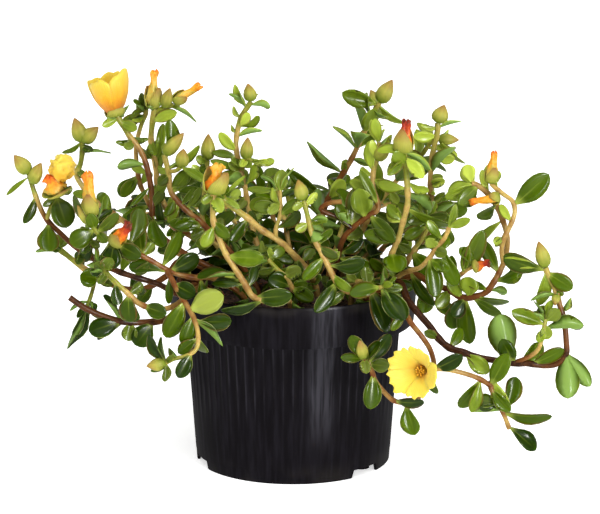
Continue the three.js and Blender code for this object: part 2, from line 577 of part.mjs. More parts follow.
      leaves: [
        [2.9, 65, -41, 86, 8, 40], [5, 73, -50, 106, 5.5, 10], [5.9, 73, -47, 121, 5.5, 10],
        [6, 63, -51, 122, 5.5, 10], [2.2, 52, -38, 88, 6, 10], [1.7, 44, -25, 104, 5.5, 10],
        [5.9, 72, -53, 114, 5, 10], [8, 82, -53, 131, 4, 10], [8, 76, -49, 137, 3.5, 10],
        [7.9, 71, -44, 116, 7, 10], [6.7, 63, -51, 129, 4, 10], [6.4, 77, -46, 98, 6, 10],
        [5, 67, -52, 94, 8, 10],
      ],
    },
  ],
  shoot_over_rim: [
    {
      route: [[21, -29, 80], [22, -31, 90], [28, -42, 98], [33, -49, 100], [37, -54, 98], [42, -57, 100]],
      girth: [2.8, 2.2],
      leaves: [
        [3.9, 44, -62, 80, 9, 0], [4.9, 53, -65, 85, 10, 0], [4.6, 27, -62, 98, 7.5, 10],
        [4.9, 51, -57, 99, 4.5, 10], [2.5, 26, -43, 103, 5.5, 10], [3.5, 34, -49, 107, 5.5, 10],
      ],
    },
  ],
  shoot_middle_low: [
    {
      route: [[2, -32, 80], [2, -34, 90], [0, -40, 94], [-3, -44, 101], [-8, -46, 106], [-12, -47, 111]],
      girth: [2.8, 2.2],
      leaves: [
        [3.2, 4, -47, 106, 6, 10], [2.2, 9, -47, 91, 6.5, 10], [2.4, -11, -48, 102, 8.5, 10],
        [4, -16, -51, 105, 5, 10], [4.8, -18, -50, 115, 4.5, 10], [4.9, -4, -45, 115, 5, 10],
        [2, 7, -43, 98, 5.5, 10], [4.8, -15, -44, 116, 4.5, 10],
      ],
    },
  ],
  shoot_back_left: [
    {
      route: [[-30, 14, 80], [-35, 16, 91], [-47, 37, 104], [-66, 58, 108], [-86, 76, 101], [-98, 88, 92]],
      girth: [3.4, 2.4],
      fill: [1.6, 5, 12, 16],
    },
  ],
  shoot_back_left_inner: [
    {
      route: [[-16, 30, 80], [-20, 33, 91], [-31, 52, 110], [-46, 78, 108], [-58, 98, 95]],
      girth: [3.4, 2.4],
      fill: [1.5, 4, 11, 16],
    },
  ],
  shoot_back_middle: [
    {
      route: [[-4, 32, 80], [-6, 35, 91], [-12, 58, 114], [-18, 88, 108], [-20, 108, 92]],
      girth: [3.2, 2.4],
      leaves: [
        [1.8, -18, 49, 109, 6, 10],
      ],
      fill: [1.5, 4, 11, 16],
    },
  ],
  shoot_back_right_inner: [
    {
      route: [[8, 30, 80], [10, 33, 91], [16, 54, 116], [24, 84, 112], [30, 104, 96]],
      girth: [3.2, 2.4],
      leaves: [
        [2, 24, 50, 126, 5.5, 10], [3, 28, 85, 122, 4.5, 10], [2, -2, 48, 132, 5.5, 10],
      ],
      fill: [1.5, 4, 11, 16],
    },
  ],
  shoot_back_right: [
    {
      route: [[22, 24, 80], [26, 28, 91], [40, 50, 112], [58, 76, 108], [70, 92, 96]],
      girth: [3.4, 2.4],
      fill: [1.5, 4, 11, 16],
    },
  ],
  shoot_back_far_right: [
    {
      route: [[32, 14, 80], [37, 17, 91], [52, 30, 106], [64, 40, 111], [72, 44, 113]],
      girth: [3.4, 2.4],
      fill: [1.5, 3, 6, 14],
    },
    {
      route: [[64, 40, 111], [66, 60, 110], [64, 78, 101], [60, 90, 90]],
      girth: [2.8, 2.2],
      fill: [0.8, 3, 7, 15],
    },
  ],
  shoot_inner_left: [
    {
      route: [[-12, 20, 80], [-14, 22, 91], [-26, 30, 108], [-40, 38, 120]],
      girth: [3, 2.2],
      fill: [1.3, 3, 7, 15],
    },
  ],
  shoot_inner_right: [
    {
      route: [[10, 14, 80], [12, 16, 91], [24, 26, 108], [36, 36, 121]],
      girth: [3, 2.2],
      fill: [1.3, 3, 7, 15],
    },
  ],
  shoot_inner_far_left: [
    {
      route: [[-20, 13, 80], [-21, 14, 91], [-36, 12, 107], [-52, 14, 119]],
      girth: [3, 2.2],
      fill: [1.3, 3, 7, 15],
    },
  ],
  shoot_inner_middle: [
    {
      route: [[0, 12, 80], [0, 14, 91], [-4, 20, 112], [-8, 30, 128]],
      girth: [3, 2.2],
      fill: [1.2, 3, 7, 15],
    },
  ],
  shoot_inner_front: [
    {
      route: [[16, -2, 80], [17, -2, 91], [22, 2, 108], [26, 6, 122]],
      girth: [3, 2.2],
      leaves: [
        [2.8, 16, -1, 123, 6, 10],
      ],
      fill: [1.2, 3, 7, 14],
    },
  ],
  shoot_inner_far_right: [
    {
      route: [[26, 4, 80], [28, 5, 91], [42, 12, 104], [56, 18, 112]],
      girth: [3, 2.2],
      fill: [1.3, 3, 7, 15],
    },
  ],
  shoot_back_top: [
    {
      route: [[2, 44, 80], [2, 46, 91], [0, 54, 106], [-4, 60, 121]],
      girth: [3, 2.2],
      leaves: [
        [1.1, -1, 48, 105, 8.5, 10],
      ],
      fill: [1.3, 3, 5, 14],
    },
  ],
};

// Flowers past or in bloom. Each sits on a stem's end or side and points at its tip.
//   shape: cup, funnel, crumple or spindle; width: greatest width; gap to the stem's middle: seat
const flowers = {
  cup_flower: {
    shape: 'cup', on: ['shoot_cup_flower', 0], at: 12, tip: [-87, -17, 195], width: 21, seat: 0.9,
  },
  open_flower: {
    shape: 'funnel', on: ['shoot_right_long', 3], at: 4, tip: [54.5, -90, 67], width: 27, seat: 0.9,
  },
  crumpled_flower: {
    shape: 'crumple', on: ['shoot_far_left', 1], at: 3, tip: [-107, -39, 159], width: 14, seat: 7,
  },
  withered_flower_far_left: {
    shape: 'spindle', on: ['shoot_far_left', 1], at: 3, tip: [-112, -40, 148], width: 12, seat: 0.5,
  },
  withered_flower_left: {
    shape: 'spindle', on: ['shoot_left_fork', 0], at: 10, tip: [-95, -59, 156], width: 7.5, seat: 0.5,
  },
  withered_flower_red: {
    shape: 'spindle', on: ['shoot_left_fork', 0], at: 7, tip: [-75, -68, 132], width: 7, seat: 1.9,
  },
  withered_flower_upright: {
    shape: 'spindle', on: ['shoot_twin_withered', 0], at: 9, tip: [-65, 2, 191], width: 5.5, seat: 0.9,
  },
  withered_flower_sideways: {
    shape: 'spindle', on: ['shoot_twin_withered', 1], at: 2, tip: [-44, -1, 183], width: 4.5, seat: 0.5,
  },
  withered_flower_middle: {
    shape: 'spindle', on: ['shoot_front_long', 0], at: 11, tip: [-34, -60, 159], width: 8.5, seat: 0.5,
  },
  withered_flower_right: {
    shape: 'spindle', on: ['shoot_red_tip', 0], at: 10, tip: [53, -31, 174], width: 7.5, seat: 0.5,
  },
  withered_flower_loop: {
    shape: 'spindle', on: ['shoot_right_loop', 1], at: 8, tip: [94, -37, 160], width: 6, seat: 0.5,
  },
  withered_flower_stem: {
    shape: 'spindle', on: ['shoot_right_loop', 0], at: 13.6, tip: [83, -41, 137], width: 4.5, seat: 2.1,
  },
  withered_flower_low: {
    shape: 'spindle', on: ['shoot_right_loop', 2], at: 3, tip: [92, -45, 108], width: 5.5, seat: 0.5,
  },
};

// Turns a three.js geometry into a solid with merged points and outward faces.
function toSolid(geometry) {
  const bare = new THREE.BufferGeometry();
  bare.setAttribute('position', geometry.getAttribute('position').clone());
  bare.setIndex(geometry.getIndex());
  const merged = mergeVertices(bare, 1e-4);
  const points = merged.getAttribute('position');
  const corner = [new THREE.Vector3(), new THREE.Vector3(), new THREE.Vector3()];
  const index = merged.getIndex().array;
  const faces = [];
  let volume = 0;
  for (let i = 0; i < index.length; i += 3) {
    const [a, b, c] = [index[i], index[i + 1], index[i + 2]];
    if (a === b || b === c || c === a) continue;
    faces.push([a, b, c]);
    [a, b, c].forEach((v, k) => corner[k].fromBufferAttribute(points, v));
    volume += corner[0].dot(corner[1].clone().cross(corner[2]));
  }
  const order = volume > 0 ? faces : faces.map(([a, b, c]) => [a, c, b]);
  const mesh = new wasm.Mesh({
    numProp: 3,
    vertProperties: new Float32Array(points.array),
    triVerts: new Uint32Array(order.flat()),
  });
  return new wasm.Manifold(mesh);
}

function toGeometry(solid) {
  const mesh = solid.getMesh();
  const geometry = new THREE.BufferGeometry();
  geometry.setAttribute('position', new THREE.BufferAttribute(mesh.vertProperties, 3));
  geometry.setIndex(new THREE.BufferAttribute(mesh.triVerts, 1));
  geometry.computeVertexNormals();
  return geometry;
}

function lathe(profile, segments) {
  const outline = profile.map(([r, z]) => new THREE.Vector2(r, z));
  return new THREE.LatheGeometry(outline, segments).rotateX(Math.PI / 2);
}

// The nursery pot: rim band, tapered body, raised drain channel round a flat pad, notched foot.
function makePot() {
  const p = pot;
  const under = p.channelHeight;
  const profile = [
    [0, 0],
    [p.padRadius, 0],
    [p.padRadius + 2, under],
    [p.footRadius - p.wall, under],
    [p.footRadius - p.wall, 0],
    [p.footRadius, 0],
    [p.bodyTopRadius, p.rimLow - 2],
    [p.rimLowRadius, p.rimLow],
    [p.rimRadius, p.rimTop],
    [p.rimRadius - p.wall, p.rimTop],
    [p.rimLowRadius - p.wall, p.rimLow + p.wall],
    [p.bodyTopRadius - p.wall, p.rimLow - 2 + p.wall],
    [p.footRadius - p.wall + 0.4, under + p.floor],
    [p.padRadius + 1, under + p.floor],
    [p.padRadius - 1, p.floor],
    [0, p.floor],
  ];
  let shell = toSolid(lathe(profile, p.segments));
  for (let i = 0; i < notch.count; i += 1) {
    const angle = THREE.MathUtils.degToRad(notch.first + (i * 360) / notch.count);
    const block = new THREE.BoxGeometry(12, notch.width, 2 * notch.height);
    block.translate(p.footRadius, 0, 0).rotateZ(angle);
    shell = shell.subtract(toSolid(block));
  }
  for (let i = 0; i < drain.count; i += 1) {
    const angle = ((i + 0.5) * 2 * Math.PI) / drain.count;
    const hole = new THREE.CylinderGeometry(drain.radius, drain.radius, 10, 8).rotateX(Math.PI / 2);
    hole.translate(drain.circle * Math.cos(angle), drain.circle * Math.sin(angle), under + 1);
    shell = shell.subtract(toSolid(hole));
  }
  return shell;
}

// The root ball: it fills the pot to a little below the rim, with a pocket for each stem.
function makeSoil(stems) {
  const p = pot;
  const inset = p.wall + gap;
  const base = p.channelHeight + p.floor + gap;
  const profile = [
    [0, p.floor + gap],
    [p.padRadius - 1.2, p.floor + gap],
    [p.padRadius + 0.8, base],
    [p.footRadius - inset + 0.3, base],
    [p.bodyTopRadius - inset, p.rimLow - 2 + inset],
    [p.rimLowRadius - inset - 0.1, p.rimLow + inset],
    [p.rimLowRadius - inset + 0.7, soil.top - 1.5],
    [p.rimLowRadius - inset - 2, soil.top],
    [0, soil.crown],
  ];
  let ball = toSolid(lathe(profile, soil.segments));
  stems.forEach(([route, girth]) => {
    const foot = new THREE.Vector3(...route[0]);
    const out = new THREE.Vector3(...route[1]);
    const radius = girth[0] / 2 + gap;
    ball = ball.subtract(toSolid(pocket(foot, out, radius)));
  });
  return ball;
}

// A straight bore along the first span of a stem, from below its end up into the air.
function pocket(foot, out, radius) {
  const along = out.clone().sub(foot).normalize();
  const start = foot.clone().addScaledVector(along, -gap);
  const end = out.clone().addScaledVector(along, 4);
  const bore = new THREE.CylinderGeometry(radius * 1.25, radius * 1.25, start.distanceTo(end), 5);
  bore.applyQuaternion(new THREE.Quaternion().setFromUnitVectors(new THREE.Vector3(0, 1, 0), along));
  const middle = start.add(end).multiplyScalar(0.5);
  return bore.translate(middle.x, middle.y, middle.z);
}

// The point at a place along a route: 2.5 is halfway from its third point to its fourth.
function placeOn(route, at) {
  const span = Math.min(Math.floor(at), route.length - 2);
  return new THREE.Vector3(...route[span]).lerp(new THREE.Vector3(...route[span + 1]), at - span);
}

// A stem: a cylinder with a ring at each point of its route, tapered from its foot to its tip.
function makeStem({ route, girth }) {
  const spans = route.length - 1;
  const curve = new THREE.CatmullRomCurve3(route.map((p) => new THREE.Vector3(...p)), false, 'catmullrom');
  const side = new THREE.Vector3(1, 0, 0);
  const rings = route.map((_, k) => {
    const tangent = curve.getTangent(k / spans);
    side.addScaledVector(tangent, -side.dot(tangent)).normalize();
    return { middle: placeOn(route, k), side: side.clone(), other: tangent.cross(side) };
  });
  const geometry = new THREE.CylinderGeometry(1, 1, 1, stemSides, spans);
  const points = geometry.getAttribute('position');
  for (let i = 0; i < points.count; i += 1) {
    const share = points.getY(i) + 0.5;
    const ring = rings[Math.round(share * spans)];
    const radius = THREE.MathUtils.lerp(girth[0], girth[1], share) / 2;
    const spot = ring.middle.clone().addScaledVector(ring.side, points.getX(i) * radius);
    spot.addScaledVector(ring.other, points.getZ(i) * radius);
    points.setXYZ(i, spot.x, spot.y, spot.z);
  }
  return toSolid(geometry);
}

// A blade from its base to its tip: a lens with six corners, widest past the middle.
function makeBlade(base, tip, width, face, spare = 0) {
  const along = tip.clone().sub(base);
  const length = along.length() + spare;
  along.normalize();
  const across = face.clone().cross(along).normalize();
  const up = along.clone().cross(across);
  const geometry = new THREE.SphereGeometry(1, 6, 2);
  const points = geometry.getAttribute('position');
  for (let i = 0; i < points.count; i += 1) {
    const [x, y, z] = [points.getX(i), points.getY(i), points.getZ(i)];
    const middle = Math.abs(y) > 0.5;
    const ahead = middle ? 0.58 : [0, 0.4, 0.8, 1][Math.round((x + 1) * 1.5)];
    const side = middle ? 0 : Math.sign(Math.round(z * 10)) * (width / 2 + spare) * 0.94;
    const thick = Math.sign(Math.round(y)) * (leafThickness / 2 + spare);
    const spot = base.clone().addScaledVector(along, ahead * length);
    spot.addScaledVector(across, side).addScaledVector(up, thick);
    points.setXYZ(i, spot.x, spot.y, spot.z);
  }
  return toSolid(geometry);
}

// The way a front-facing blade looks, turned about the blade's own axis.
function frontFace(base, tip, turn) {
  const tilt = THREE.MathUtils.degToRad(bladeTilt);
  const along = tip.clone().sub(base).normalize();
  const look = new THREE.Vector3(0, -Math.cos(tilt), Math.sin(tilt));
  look.addScaledVector(along, -look.dot(along)).normalize();
  const sky = new THREE.Vector3(0, 0, 1).cross(along).dot(look) > 0 ? -1 : 1;
  return look.applyAxisAngle(along, sky * THREE.MathUtils.degToRad(turn));
}

// Leaves set round a stem in a spiral, each rising outwards, with its face to the sky.
function spiralLeaves(branch) {
  const [from, to, number, length] = branch.fill;
  const rise = THREE.MathUtils.degToRad(fillLeaf.rise);
  return Array.from({ length: number }, (_, i) => {
    const at = from + ((to - from) * i) / (number - 1);
    const base = placeOn(branch.route, Math.min(at, branch.route.length - 1.05));
    const angle = THREE.MathUtils.degToRad(fillLeaf.turn * i);
    const out = new THREE.Vector3(Math.cos(angle), Math.sin(angle), Math.tan(rise)).normalize();
    const size = length * (0.85 + 0.3 * ((i * 0.618) % 1));
    const tip = base.clone().addScaledVector(out, size);
    return { base, tip, width: size * fillLeaf.slimness, face: new THREE.Vector3(0, 0, 1) };
  });
}

function listedLeaves(branch) {
  return (branch.leaves ?? []).map(([at, x, y, z, width, turn]) => {
    const base = placeOn(branch.route, at);
    const tip = new THREE.Vector3(x, y, z);
    return { base, tip, width, face: frontFace(base, tip, turn) };
  });
}

// Swings a leaf about its base, in the plane of the blade's axis and the front.
function swingLeaf(leaf, step) {
  const along = leaf.tip.clone().sub(leaf.base);
  const axis = along.clone().cross(new THREE.Vector3(0, -1, 0)).normalize();
  const angle = THREE.MathUtils.degToRad(step * swingStep);
  const tip = along.applyAxisAngle(axis, angle).add(leaf.base);
  const face = leaf.face.clone().applyAxisAngle(axis, angle);
  return { ...leaf, tip, face };
}

// A closed bud: a pointed drop, fattest below its middle.
function makeBud(base, tip, width) {
  const length = base.distanceTo(tip);
  const profile = [[0, 0], [0.3, 0.04], [0.5, 0.34], [0.4, 0.66], [0, 1]];
  const drop = lathe(profile.map(([r, z]) => [r * width, z * length]), 6);
  return toSolid(aim(drop, base, tip));
}

// Turns a shape that was made along +Z so that it starts at base and points at tip.
function aim(geometry, base, tip) {
  const along = tip.clone().sub(base).normalize();
  const turn = new THREE.Quaternion().setFromUnitVectors(new THREE.Vector3(0, 0, 1), along);
  return geometry.applyQuaternion(turn).translate(base.x, base.y, base.z);
}

const flowerProfiles = {
  cup: [[0, 0], [0.12, 0.02], [0.4, 0.34], [0.5, 1], [0.455, 1], [0.35, 0.36], [0.08, 0.1], [0, 0.08]],
  funnel: [[0, 0], [0.1, 0.02], [0.27, 0.42], [0.5, 0.93], [0.48, 1], [0.24, 0.55], [0.05, 0.12], [0, 0.1]],
  crumple: [[0, 0], [0.3, 0.05], [0.5, 0.45], [0.45, 0.8], [0, 1]],
  spindle: [[0, 0], [0.26, 0.03], [0.5, 0.3], [0.4, 0.6], [0.2, 0.92], [0, 1]],
};

function makeFlower({ on, at, tip, width, shape, seat }) {
  const branch = shoots[on[0]][on[1]];
  const root = placeOn(branch.route, at);
  const end = new THREE.Vector3(...tip);
  const base = root.clone().addScaledVector(end.clone().sub(root).normalize(), seat);
  const length = base.distanceTo(end);
  const profile = flowerProfiles[shape].map(([r, z]) => [r * width, z * length]);
  return toSolid(aim(lathe(profile, shape === 'spindle' ? 6 : 10), base, end));
}

const box = (solid) => solid.boundingBox();
const apart = (a, b) => [0, 1, 2].some((k) => a.max[k] < b.min[k] || b.max[k] < a.min[k]);

// Tells whether a trial solid would touch any of the solids that other pieces own.
function touches(trial, owner, taken) {
  const bounds = box(trial);
  return taken.some((other) => {
    if (other.owner === owner || apart(bounds, other.bounds)) return false;
    return !trial.intersect(other.solid).isEmpty();
  });
}

const taken = [];
function claim(owner, solid) {
  taken.push({ owner, solid, bounds: box(solid) });
  return solid;
}

const mainStems = Object.values(shoots).map(([main]) => [main.route, main.girth]);
const potSolid = claim('nursery_pot', makePot());
const soilSolid = claim('potting_soil', makeSoil(mainStems));
const flowerSolids = Object.entries(flowers).map(([name, flower]) => [name, claim(name, makeFlower(flower))]);

// Stems and buds first, so that every leaf can keep clear of them.
const shootSolids = {};
Object.entries(shoots).forEach(([name, branches]) => {
  branches.forEach((branch) => {
    const solids = [makeStem(branch)];
    (branch.buds ?? []).forEach(([at, x, y, z, width]) => {
      const tip = new THREE.Vector3(x, y, z);
      const base = placeOn(branch.route, at);
      base.lerp(tip, -rooted / base.distanceTo(tip));
      solids.push(makeBud(base, tip, width));
    });
    solids.forEach((solid) => claim(name, solid));
    shootSolids[name] = [...(shootSolids[name] ?? []), ...solids];
  });
});

// Each leaf takes the first swing at which it stays clear, and is left out if there is none.
function growLeaf(name, leaf) {
  const reach = leaf.base.distanceTo(leaf.tip);
  const found = swings.map((step) => swingLeaf(leaf, step)).find((trial) => {
    const start = trial.base.clone().lerp(trial.tip, 1.2 / reach);
    return !touches(makeBlade(start, trial.tip, trial.width, trial.face, gap * 1.2), name, taken);
  });
  if (!found) return;
  const root = found.base.clone().lerp(found.tip, -rooted / reach);
  const blade = makeBlade(root, found.tip, found.width, found.face);
  shootSolids[name].push(claim(name, blade));
}

Object.entries(shoots).forEach(([name, branches]) => {
  branches.forEach((branch) => listedLeaves(branch).forEach((leaf) => growLeaf(name, leaf)));
});
Object.entries(shoots).forEach(([name, branches]) => {
  branches.filter((branch) => branch.fill).forEach((branch) => {
    spiralLeaves(branch).forEach((leaf) => growLeaf(name, leaf));
  });
});

const group = new THREE.Group();

function addNode(name, solid, colour, roughness) {
  const material = new THREE.MeshStandardMaterial({ color: colour, roughness, metalness: 0 });
  const mesh = new THREE.Mesh(toGeometry(solid), material);
  mesh.name = name;
  group.add(mesh);
}

addNode('nursery_pot', potSolid, colours.plastic, 0.45);
addNode('potting_soil', soilSolid, colours.soil, 0.95);
Object.entries(shootSolids).forEach(([name, solids]) => {
  const joined = solids.reduce((sum, solid) => sum.add(solid));
  addNode(name, joined, colours.leaf, 0.5);
});
flowerSolids.forEach(([name, solid]) => {
  const colour = flowers[name].shape === 'spindle' ? colours.withered : colours.petal;
  addNode(name, solid, colour, 0.6);
});

export default group;
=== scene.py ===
# A potted portulaca in bloom: fleshy shoots and yellow flowers in a black nursery pot.
import math
import random
from functools import partial

import bmesh
import bpy
import numpy as np
from mathutils import Matrix, Vector, noise
from mathutils.kdtree import KDTree


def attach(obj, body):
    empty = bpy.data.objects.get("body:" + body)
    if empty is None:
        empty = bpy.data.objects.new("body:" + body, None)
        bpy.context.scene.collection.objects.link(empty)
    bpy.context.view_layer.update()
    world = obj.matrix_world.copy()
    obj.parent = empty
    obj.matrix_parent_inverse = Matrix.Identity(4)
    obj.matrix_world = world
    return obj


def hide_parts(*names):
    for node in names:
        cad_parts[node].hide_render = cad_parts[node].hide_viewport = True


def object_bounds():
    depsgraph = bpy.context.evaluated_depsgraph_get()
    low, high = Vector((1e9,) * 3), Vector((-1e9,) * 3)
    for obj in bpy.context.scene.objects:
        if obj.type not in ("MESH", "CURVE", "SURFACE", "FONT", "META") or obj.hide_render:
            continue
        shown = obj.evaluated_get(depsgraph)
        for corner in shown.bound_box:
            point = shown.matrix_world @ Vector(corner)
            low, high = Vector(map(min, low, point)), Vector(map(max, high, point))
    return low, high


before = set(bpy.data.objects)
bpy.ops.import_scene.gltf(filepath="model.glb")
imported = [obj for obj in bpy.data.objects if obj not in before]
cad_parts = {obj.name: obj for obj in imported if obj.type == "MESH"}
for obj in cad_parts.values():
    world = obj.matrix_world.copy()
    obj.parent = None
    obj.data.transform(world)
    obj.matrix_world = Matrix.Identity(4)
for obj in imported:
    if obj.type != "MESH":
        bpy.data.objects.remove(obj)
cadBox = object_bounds()
mm = 0.001
soft = {"interpolation_type": "SMOOTHSTEP"}   # a Map Range node that eases in and out


def hexColour(text):
    # sRGB hex to linear RGBA
    values = [int(text[i:i + 2], 16) / 255 for i in (1, 3, 5)]
    linear = [v / 12.92 if v <= 0.04045 else ((v + 0.055) / 1.055) ** 2.4 for v in values]
    return (*linear, 1.0)


def feed(node, inputs):
    # Fills a node's inputs, by name or in order, with links, lists of links, hex colours or values.
    for key, value in inputs.items() if isinstance(inputs, dict) else enumerate(inputs):
        links = value if isinstance(value, list) else [value]
        if isinstance(links[0], bpy.types.NodeSocket):
            for source in links:
                node.id_data.links.new(source, node.inputs[key])
        else:
            node.inputs[key].default_value = hexColour(value) if str(value)[0] == "#" else value


def addNode(tree, kind, inputs=(), stops=(), **settings):
    # Adds one node with its settings and links and returns its outputs. A kind without a prefix is
    # a shader node, and the stops are a colour ramp's places and colours.
    node = tree.nodes.new(kind if "Node" in kind else "ShaderNode" + kind)
    for name, value in settings.items():
        setattr(node, name, value)
    feed(node, inputs)
    if stops:
        elements = node.color_ramp.elements
        while len(elements) < len(stops):
            elements.new(0.5)
        for element, (place, colour) in zip(elements, stops):
            element.position, element.color = place, hexColour(colour)
    return node.outputs


def smoothStep(low, high, value):
    t = min(max((value - low) / (high - low), 0.0), 1.0)
    return t * t * (3 - 2 * t)


def newMaterial(name, **settings):
    # A material with its shader, and addNode for its own tree. The settings are inputs of the
    # shader, and an underscore in a name stands for a space.
    material = bpy.data.materials.new(name)
    material.use_nodes = True
    shader = material.node_tree.nodes["Principled BSDF"]
    feed(shader, {key.replace("_", " "): value for key, value in settings.items()})
    return material, shader, partial(addNode, material.node_tree)


def newObject(name, mesh, materials=()):
    piece = bpy.data.objects.new(name, mesh)
    bpy.context.scene.collection.objects.link(piece)
    for material in materials:
        mesh.materials.append(material)
    return piece


def meshFrom(name, points, faces, smooth=True):
    mesh = bpy.data.meshes.new(name)
    mesh.from_pydata(points, [], faces)
    mesh.polygons.foreach_set("use_smooth", [smooth] * len(mesh.polygons))
    mesh.update()
    return mesh


def putAttribute(mesh, name, values, kind="FLOAT"):
    layer = mesh.attributes.new(name, kind, "POINT")
    key = "vector" if kind == "FLOAT_VECTOR" else "value"
    layer.data.foreach_set(key, np.asarray(values, dtype=np.int32 if kind == "INT" else np.float32).ravel())


def ringFaces(rows, sides):
    # The faces of a closed body of rings that starts and ends in a single point.
    faces = [(0, 1 + (k + 1) % sides, 1 + k) for k in range(sides)]
    for row in range(rows - 1):
        a = 1 + row * sides
        b = a + sides
        faces += [(a + k, a + (k + 1) % sides, b + (k + 1) % sides, b + k) for k in range(sides)]
    a = 1 + (rows - 1) * sides
    return faces + [(a + k, a + (k + 1) % sides, rows * sides + 1) for k in range(sides)]


def evaluated(piece, name):
    # The plain mesh of a piece with its modifiers applied.
    bpy.context.view_layer.update()
    graph = bpy.context.evaluated_depsgraph_get()
    mesh = bpy.data.meshes.new_from_object(piece.evaluated_get(graph))
    mesh.name = name
    return mesh


def settle(piece, slotName, *nodes):
    # A finished piece rides on the one body and stands for its CAD nodes.
    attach(piece, "root")
    if nodes:
        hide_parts(*nodes)


def hidden(collectionName, pieces):
    # Source shapes live in a collection of their own that isn't linked to the scene.
    collection = bpy.data.collections.new(collectionName)
    for piece in pieces:
        for owner in list(piece.users_collection):
            owner.objects.unlink(piece)
        collection.objects.link(piece)
    return collection


def fleshyBladeSkin():
    # Succulent leaf blade, grown: waxy and smooth, glossy dark green above, paler and duller below,
    # with a thin pale rim and a faint midrib.
    look = {"dark": "#1b2d00", "mid": "#465c00", "light": "#a2b43a", "young": "#bac656", "under": "#7d9a4a",
            "rim": "#c9cf84", "blush": "#6c3424", "patchMm": 7, "cellMm": 0.7, "cellDepthMm": 0.12}
    material, shader, add = newMaterial(
        "waxyBlade", IOR=1.4, Specular_IOR_Level=0.05, Subsurface_Weight=0.12, Subsurface_Scale=0.0016,
        Subsurface_Radius=(0.7, 1.0, 0.1), Coat_Weight=0.12, Coat_Roughness=0.22)
    coords = add("TexCoord")["Object"]
    tone, young, upper, blush, along, across = (
        add("Attribute", attribute_name=key)["Fac"]
        for key in ("tone", "young", "upper", "blush", "along", "across"))
    across = add("Math", [across], operation="ABSOLUTE")[0]
    patch = add("TexNoise", {"Vector": coords, "Scale": 1 / (look["patchMm"] * mm)})["Fac"]
    mottle = add("Math", [patch, 0.34, -0.17], operation="MULTIPLY_ADD")[0]
    depth = add("Math", [tone, mottle], operation="ADD")[0]
    top = add("ValToRGB", [depth], [(0.0, look["dark"]), (0.5, look["mid"]), (1.0, look["light"])])[0]
    top = add("Mix", {0: young, 6: top, 7: look["young"]}, data_type="RGBA")[2]
    # paler towards the foot of the blade and along the midrib
    middle = add("MapRange", [across, 0.14, 0.0], **soft)[0]
    lower = add("MapRange", [along, 1.0, 0.1, 0.0, 0.22], **soft)[0]
    rib = add("Math", [middle, lower], operation="MULTIPLY")[0]
    top = add("Mix", {0: rib, 6: top, 7: look["light"]}, data_type="RGBA")[2]
    foot = add("MapRange", [along, 0.3, 0.02, 0.0, 0.55], **soft)[0]
    top = add("Mix", {0: foot, 6: top, 7: look["young"]}, data_type="RGBA")[2]
    # the lower side, duller the darker the leaf is
    deeper = add("MapRange", [tone, 0.0, 1.0, 0.4, 0.0], **soft)[0]
    under = add("Mix", {0: deeper, 6: look["under"], 7: look["mid"]}, data_type="RGBA")[2]
    below = add("MapRange", [upper, 0.25, 0.5, 1.0, 0.0], **soft)[0]
    skin = add("Mix", {0: below, 6: top, 7: under}, data_type="RGBA")[2]
    edge = add("MapRange", [across, 0.9, 1.0], **soft)[0]
    broken = add("MapRange", [patch, 0.35, 0.65, 0.1, 0.6], **soft)[0]
    rim = add("Math", [edge, broken], operation="MULTIPLY")[0]
    skin = add("Mix", {0: rim, 6: skin, 7: look["rim"]}, data_type="RGBA")[2]
    outer = add("MapRange", [across, 0.7, 1.0], **soft)[0]
    red = add("Math", [blush, outer], operation="MULTIPLY")[0]
    skin = add("Mix", {0: red, 6: skin, 7: look["blush"]}, data_type="RGBA")[2]
    # the sunken midrib and the fine cells, which are drawn coarser than real ones so that they show,
    # and a duller lower side
    cells = add("TexNoise", {"Vector": coords, "Scale": 1 / (look["cellMm"] * mm), "Detail": 3.0})["Fac"]
    groove = add("MapRange", [across, 0.16, 0.0], **soft)[0]
    height = add("Math", [groove, -0.6, cells], operation="MULTIPLY_ADD")[0]
    gloss = add("MapRange", [upper, 0.3, 0.6, 0.46, 0.24], **soft)[0]
    rough = add("Math", [cells, 0.1, gloss], operation="MULTIPLY_ADD")[0]
    bump = add("Bump", {"Height": height, "Strength": 0.25, "Distance": look["cellDepthMm"] * mm})[0]
    feed(shader, {"Base Color": skin, "Roughness": rough, "Normal": bump})
    return material


